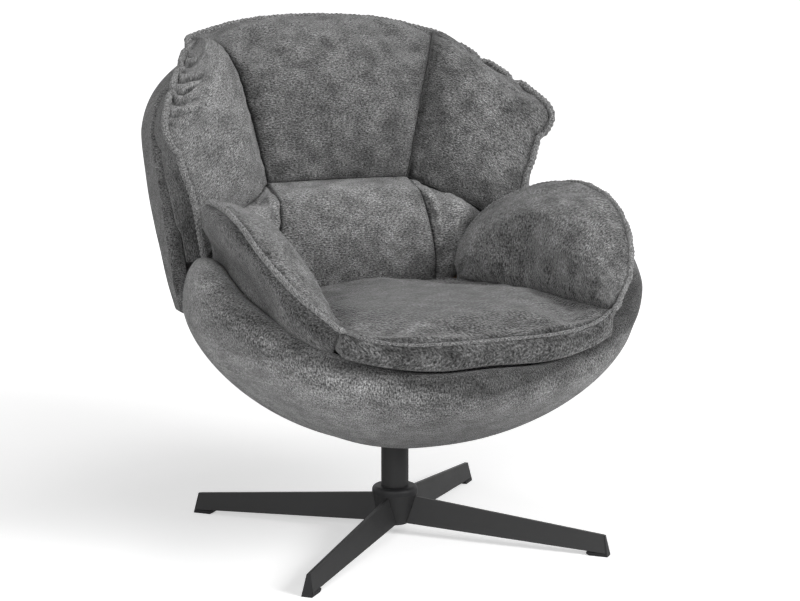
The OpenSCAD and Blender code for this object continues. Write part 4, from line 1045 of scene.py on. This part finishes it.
def swell_front(obj, rows, cols, height):
    """Move the front panel of a cover along its normals by a height in millimetres for each point."""
    co, g = front_grid(obj, rows, cols)
    n, m = grid(rows, cols)
    edge = np.minimum(1, np.minimum(np.minimum(n, 1 - n) * rows, np.minimum(m, 1 - m) * cols))
    g = g + normals(g) * (height * edge)[..., None]
    co[:g.shape[0] * g.shape[1]] = g.reshape(-1, 3)
    put_vertices(obj, co * MM)


def soft_noise(shape, seed, waves, size):
    """Smooth random hills on a grid: a few crossed sines with random phases."""
    rng = np.random.default_rng(seed)
    v, u = grid(shape[0] - 1, shape[1] - 1)
    total = np.zeros(shape)
    for k in range(9):
        a, b, c = rng.uniform(-waves, waves), rng.uniform(-waves, waves), rng.uniform(0, 6.28)
        total += np.sin(2 * np.pi * (a * u + b * v) + c)
    return total * size / 3


def cloth_size(g):
    """Mean height and width of a panel, measured along its cloth."""
    return [np.linalg.norm(np.diff(g, axis=k), axis=-1).sum(k).mean() for k in (0, 1)]


def put_painted_light(obj, values):
    """Keep the painted light and shade at each point: how much lighter or darker the material paints it.
    """
    obj.data.attributes["nap"].data.foreach_set("value", values.astype(np.float32).reshape(-1))


# %% Creases of each kind of cover
GATHERS = np.array([[0.865, 0.6, 0.40], [0.825, 1.0, 0.45], [0.785, 0.6, 0.30], [0.742, 1.2, 0.55],
                    [0.690, 1.1, 0.50], [0.638, 1.2, 0.42], [0.575, 0.9, 0.34], [0.530, 0.4, 0.20]])
WING_LENGTH, LEFT_DEPTH, RIGHT_DEPTH, RIGHT_REACH = 549, 10, 2.5, 0.2


def wing_creases(v, u, left):
    """Gathers of a wing. Each row of GATHERS is a place along the outer seam, a depth and how far the
    gather runs in. It is a valley with a low ridge beside it, two bell curves of the distance from a
    line that climbs as it runs in. The right wing's gathers are short and faint."""
    outer = u if left else 1 - u
    along_seam = (v + 0.08 * (1 - np.exp(-outer / 0.1)) + 0.13 * outer) * WING_LENGTH
    total = 0 * u
    for place, depth, length in GATHERS:
        fade = 1 - smooth(0.4, 1, outer / (length if left else RIGHT_REACH))
        d = along_seam - place * WING_LENGTH - 3 * np.sin(outer * 14 + 40 * place)
        valley = np.exp(-(d / 5.5) ** 2) - 0.45 * np.exp(-((d - 10) / 6) ** 2)
        total -= (LEFT_DEPTH if left else RIGHT_DEPTH) * depth * valley * fade * smooth(0.0, 0.02, outer)
    return total


def seat_creases(v, u, up, across):
    """Puckers along the front seam, and creases that fan out from the front corners: a cosine of the
    angle round the corner, fading with the distance from it."""
    x, y = (1 - np.abs(2 * u - 1)) * across / 2, v * up
    corner = np.exp(-np.hypot(x, y) / 60) * smooth(0, 12, np.hypot(x, y))
    fan = 6.0 * np.cos(2 * np.pi * np.arctan2(y, x) * 2.6) * corner
    return 2.0 * folds(u * across, 9, 34) * np.exp(-y / 13) + fan


def creases(name, v, u, up, across):
    """Height of a cover's creases in millimetres, where v and u run up and across its front panel."""
    x, y, from_top = u * across, v * up, (1 - v) * up
    if name.startswith("wing"):
        return wing_creases(v, u, name.endswith("left"))
    if name.startswith("seat"):
        return seat_creases(v, u, up, across)
    if name.startswith("arm"):
        outer = 1.6 * folds(x, 3, 21) * np.exp(-from_top / 14) * smooth(0, 0.04, 1 - v)
        return outer + 1.8 * folds(x, 5, 30) * np.exp(-y / 22)
    if name.startswith("lumbar_side"):
        return 4.5 * np.cos(2 * np.pi * (2.6 * u + 0.8 * v)) * smooth(0.3, 0.8, v)
    if name.startswith("headrest"):
        return 2.2 * folds(x, 4, 24) * np.exp(-from_top / 13)
    return 1.4 * folds(x, 6, 28) * np.exp(-from_top / 12)


# %% [markdown]
# ### Painted light and shade
# The colour of each cover is painted lighter or darker by place, as painted light and shade: painted
# shade in a crease and along a seam, and a little painted light on a fold's ridge. Each cover has a base
# value, painted light or shade over the whole panel, and a painted shade towards its bottom, top, left
# and right edge. Bands and backs are painted darker, as painted shade.

# %% Wrinkles and painted light and shade on the covers
# Painted light and shade of each cover: a base value for the whole panel, then a painted shade towards its
# bottom, top, left and right edge; the two widths set how far the edge and seam shades reach.
PAINTED_SHADING = {"wing_cover_left": (0.43, 0.10, 0.0, 0.0, -0.05), "wing_cover_right": (0.08, 0.30, 0.0, 0.35, 0.0),
       "lumbar_cover": (0.32, 0.40, -0.05, 0.10, 0.10), "lumbar_side": (0.68, 0.20, 0.10, 0.10, 0.10),
       "headrest": (-0.05, 0.15, 0.0, 0.22, 0.05), "arm_pad_cover": (0.03, 0.25, 0.0, 0.10, 0.10),
       "seat": (-0.34, -0.10, 0.20, 0.10, 0.10)}
SHADE_WIDTH, SEAM_SHADE_WIDTH = 38, 9


def painted_shade_and_patches(name, v, u, up, across, crease):
    """Painted light and shade over a panel: its base, less a bell curve of the distance from each edge
    times that edge's painted shade, less another as painted shade in the last millimetres before a seam,
    painted shade in the creases and a little painted light on their ridges, and random patches of tone."""
    base, *shades = next(value for start, value in PAINTED_SHADING.items() if name.startswith(start))
    ways = [v * up, (1 - v) * up, u * across, (1 - u) * across]
    lie = base - sum(k * np.exp(-(d / SHADE_WIDTH) ** 2) for k, d in zip(shades, ways))
    # Painted shade in the last millimetres before a seam and in the creases, a little painted light on
    # their ridges; the patches are random tone.
    painted_seam_shade = 0.45 * np.exp(-(np.minimum.reduce(ways) / SEAM_SHADE_WIDTH) ** 2)
    patchy = np.clip(soft_noise(u.shape, len(name) + 5, 9, 0.11), -0.2, 0.2)
    return lie + (np.clip(crease * 0.12, -0.6, 0.14) - painted_seam_shade) + patchy


for obj, rows, cols in stuffed:
    co, g = front_grid(obj, rows, cols)
    v, u = grid(rows, cols)
    up, across = cloth_size(g)
    crease = creases(obj.name, v, u, up, across)
    height = soft_noise(u.shape, len(obj.name), 2.2, 1.3)
    # Painted shade: backs and bands start a tenth darker; the seat's front band, the arm pads' bands and
    # the wings' backs and bands are painted darker still.
    nap = np.full(len(co), -0.1)
    nap[:u.size] = painted_shade_and_patches(obj.name, v, u, up, across, crease).reshape(-1)
    if obj.name.startswith("seat"):
        height += 3.0 * np.exp(-((v * up - 9) / 6) ** 2)
        nap[2 * u.size:] -= 0.28 * smooth(-200, -330, co[2 * u.size:, 1])
    if obj.name.startswith("arm"):
        nap[2 * u.size:] -= 0.36
    if obj.name.startswith("wing"):
        nap[u.size:] -= 0.30
    swell_front(obj, rows, cols, height + crease)
    put_painted_light(obj, nap)
    print(obj.name, "wrinkles up to", round(float(np.abs(height + crease).max()), 1), "mm")

# %% [markdown]
# ### The front of the tub
# In front, a seam pulls a shallow groove into the tub's cover a few centimetres below the rim. Above it
# the cover is painted darker, as painted shadow of the cushions and the rim, and the groove has painted
# shade. At the sides and back the cover is painted a little lighter, and on the left much lighter, as
# painted light.

# %% Groove and painted light and shade of the tub
GROOVE_Z, GROOVE_SLOPE, GROOVE_DEPTH, GROOVE_WIDTH = 317, 0.2, 2.6, 7

co = vertices_of(tub.data) / MM
ahead = smooth(60, 250, -co[:, 1])
over_groove = co[:, 2] - (GROOVE_Z + GROOVE_SLOPE * np.abs(co[:, 0] + 20))
shadow = smooth(0, 14, over_groove)
groove = np.exp(-(over_groove / GROOVE_WIDTH) ** 2) * ahead
painted_light_left = smooth(60, 260, -co[:, 0])
# Painted light and shade on the tub: lighter at the sides and back, much lighter on the left, a painted
# shadow above the groove in front and painted shade in the groove.
put_painted_light(tub, 0.18 * (1 - ahead) + 0.5 * painted_light_left - 0.6 * ahead * shadow - 0.15 * groove)
away = unit(co * np.array([1.0, 1, 0]) + np.array([0, TUB_FORWARD, 0]))
put_vertices(tub, (co - away * (GROOVE_DEPTH * groove)[:, None]) * MM)
print("tub: groove at", GROOVE_Z, "mm in front")

# %% [markdown]
# ## Piping
# A cord covered in the same cloth is sewn into the outer seams: over the headrest, down the wings and
# along the arm pads. It is a tube along the seam, twisted like the yarn and uneven in thickness, set a
# little outside the seam so that it stands proud. The seams are read back from the covers, so the cord
# follows their notches and folds. The arm pads have a second, thinner ridge beside it, because there
# the seam allowance is stitched flat. The seat's front seam has only a thin welt.

# %% Piping cords
CORD_STEP = 1.9


def wavering(path, size, seed):
    """Slow random waves along a path, one value for each point."""
    rng = np.random.default_rng(seed)
    s = run_of(path)
    waves = [np.sin(s / length + rng.uniform(0, 6.28)) for length in (5, 9, 17, 31)]
    return size * sum(waves) / 4


def even(path, step):
    """The same line with points about step millimetres apart."""
    s = run_of(path)
    t = np.linspace(0, s[-1], max(int(s[-1] / step), 8))
    return np.stack([np.interp(t, s, path[:, k]) for k in range(3)], 1)


def piping(name, path, radius, twist, seed, stand=0.0, centre=None):
    """Piping along a seam, set outside it by stand, away from the centre of its panel."""
    path = even(path, CORD_STEP)
    if centre is not None:
        ahead = unit(np.gradient(path, axis=0))
        away = path - np.asarray(centre, float)
        away = unit(away - (away * ahead).sum(1, keepdims=True) * ahead)
        path = path + away * (stand + wavering(path, 1.2, seed + 20))[:, None]
    cord = tube(name, path, radius + wavering(path, 0.8, seed), twist)
    cord.data.materials.append(plush_cord)
    print(f"{name}: {run_of(path)[-1]:.0f} mm long")
    return cord


def seam_of(obj, edge):
    """One border of a cover's front panel, read back from its mesh, in millimetres."""
    rows, cols = next((r, c) for o, r, c in stuffed if o == obj)
    _, g = front_grid(obj, rows, cols)
    return {"top": g[-1], "bottom": g[0], "left": g[:, 0], "right": g[:, -1]}[edge]


# %% Piping on the seams
WELT_IN = 8.5

piping("piping_headrest", seam_of(headrest, "top"), 5.6, 0.18, 1, 2.2, (0, 330, 700))
front_welt = piping("piping_seat", seam_of(seat, "bottom"), 2.8, 0.05, 2, 0.5, (0, -100, 420))
# Painted shade: the seat's welt is painted a quarter darker than the other cords.
put_painted_light(front_welt, np.full(len(front_welt.data.vertices), -0.25))
front_corner = seat_edge(np.ones(1), np.ones(1))[0]
for side, flip in (("right", 1), ("left", -1)):
    turned = np.array([flip, 1, 1])
    outer, top = seam_of(wings[side], side), seam_of(wings[side], "top")
    wing_path = np.concatenate([outer, top[::-flip][1:]])
    piping(f"piping_wing_{side}", wing_path, 5.7, 0.18, 3, 2.8, (flip * 250, 240, 690))
    corner = (front_corner + [2, -1, 1]) * turned
    arm_path = np.concatenate([seam_of(arm_pieces[side], "top")[::flip][1:], [corner]])
    root = arm_root(np.linspace(0.02, 1, len(arm_path))) * turned
    welt_path = arm_path + unit(root - arm_path) * WELT_IN + np.array([flip * 1.5, 0, 4.2])
    piping(f"piping_arm_{side}", arm_path, 4.6, 0.16, 5, 3.2, (flip * 280, -80, 480))
    piping(f"welt_arm_{side}", welt_path[5:-4], 3.8, 0.14, 8)

# %% Covers get their cloth
covers = {tub: plush_tub, back: plush_shell, seat: plush_seat, headrest: plush, lumbar: plush}
covers.update({obj: plush_arm for obj in arm_pieces.values()})
covers.update({obj: plush for obj in (*wings.values(), *lumbar_sides.values())})
for cover, cloth in covers.items():
    cover.data.materials.append(cloth)
    smoother = cover.modifiers.new("smoother", "SUBSURF")
    smoother.levels = 1
    smoother.render_levels = 1
print("padded covers:", len(covers))

# %% [markdown]
# ## Floor and light
# The photograph shows the chair cut out on white. A pale floor and a white world give that, and large
# soft lamps light it: the main one high in front on the right, a weaker one on the left. The floor
# glows a little for the camera alone, and less near the chair, so that the chair's shadow still shows.

# %% Floor
FLOOR_HALF = 40.0

floor_mesh = bpy.data.meshes.new("floor")
corners = [(x * FLOOR_HALF, y * FLOOR_HALF, 0) for x, y in ((-1, -1), (1, -1), (1, 1), (-1, 1))]
floor_mesh.from_pydata(corners, [], [(0, 1, 2, 3)])
floor = bpy.data.objects.new("floor", floor_mesh)
bpy.context.scene.collection.objects.link(floor)
mat, shader, add, link = new_material("floor")
shader.inputs["Base Color"].default_value = (0.86, 0.86, 0.86, 1)
shader.inputs["Roughness"].default_value = 0.9
shader.inputs["Specular IOR Level"].default_value = 0.0
away = add("ShaderNodeVectorMath", operation="LENGTH")
link(add("ShaderNodeTexCoord").outputs["Object"], away.inputs[0])
rise = add_mapped(add, link, away.outputs["Value"], 0.7, 3.0, 0.45, 1.0)
seen = add("ShaderNodeLightPath").outputs["Is Camera Ray"]
link(combined(add, link, seen, rise), shader.inputs["Emission Strength"])
shader.inputs["Emission Color"].default_value = (1, 1, 1, 1)
floor.data.materials.append(mat)

# %% World and lamps
world = bpy.data.worlds.new("studio")
bpy.context.scene.world = world
world.use_nodes = True
add, link = node_tools(world.node_tree)
sky = world.node_tree.nodes["Background"]
sky.inputs["Color"].default_value = (1, 1, 1, 1)
rays = add("ShaderNodeLightPath").outputs
seen = combined(add, link, rays["Is Camera Ray"], rays["Is Glossy Ray"], "MAXIMUM")
link(add_mapped(add, link, seen, 0, 1, 0.24, 1.0), sky.inputs["Strength"])


def lamp(name, place, aim, size, watts):
    """Square soft lamp at a place, turned towards a point."""
    data = bpy.data.lights.new(name, "AREA")
    data.size, data.energy = size, watts
    obj = bpy.data.objects.new(name, data)
    obj.location = place
    obj.rotation_euler = (Vector(aim) - Vector(place)).to_track_quat("-Z", "Y").to_euler()
    bpy.context.scene.collection.objects.link(obj)
    return obj


lamp("key", (1.8, -3.2, 2.1), (0, 0, 0.5), 1.4, 132)
lamp("fill", (-2.4, -2.9, 1.5), (0, 0, 0.5), 1.6, 62)
lamp("top", (0.2, -0.6, 3.6), (0, 0, 0.6), 1.4, 22)
print("lamps:", [light.name for light in bpy.data.lights])
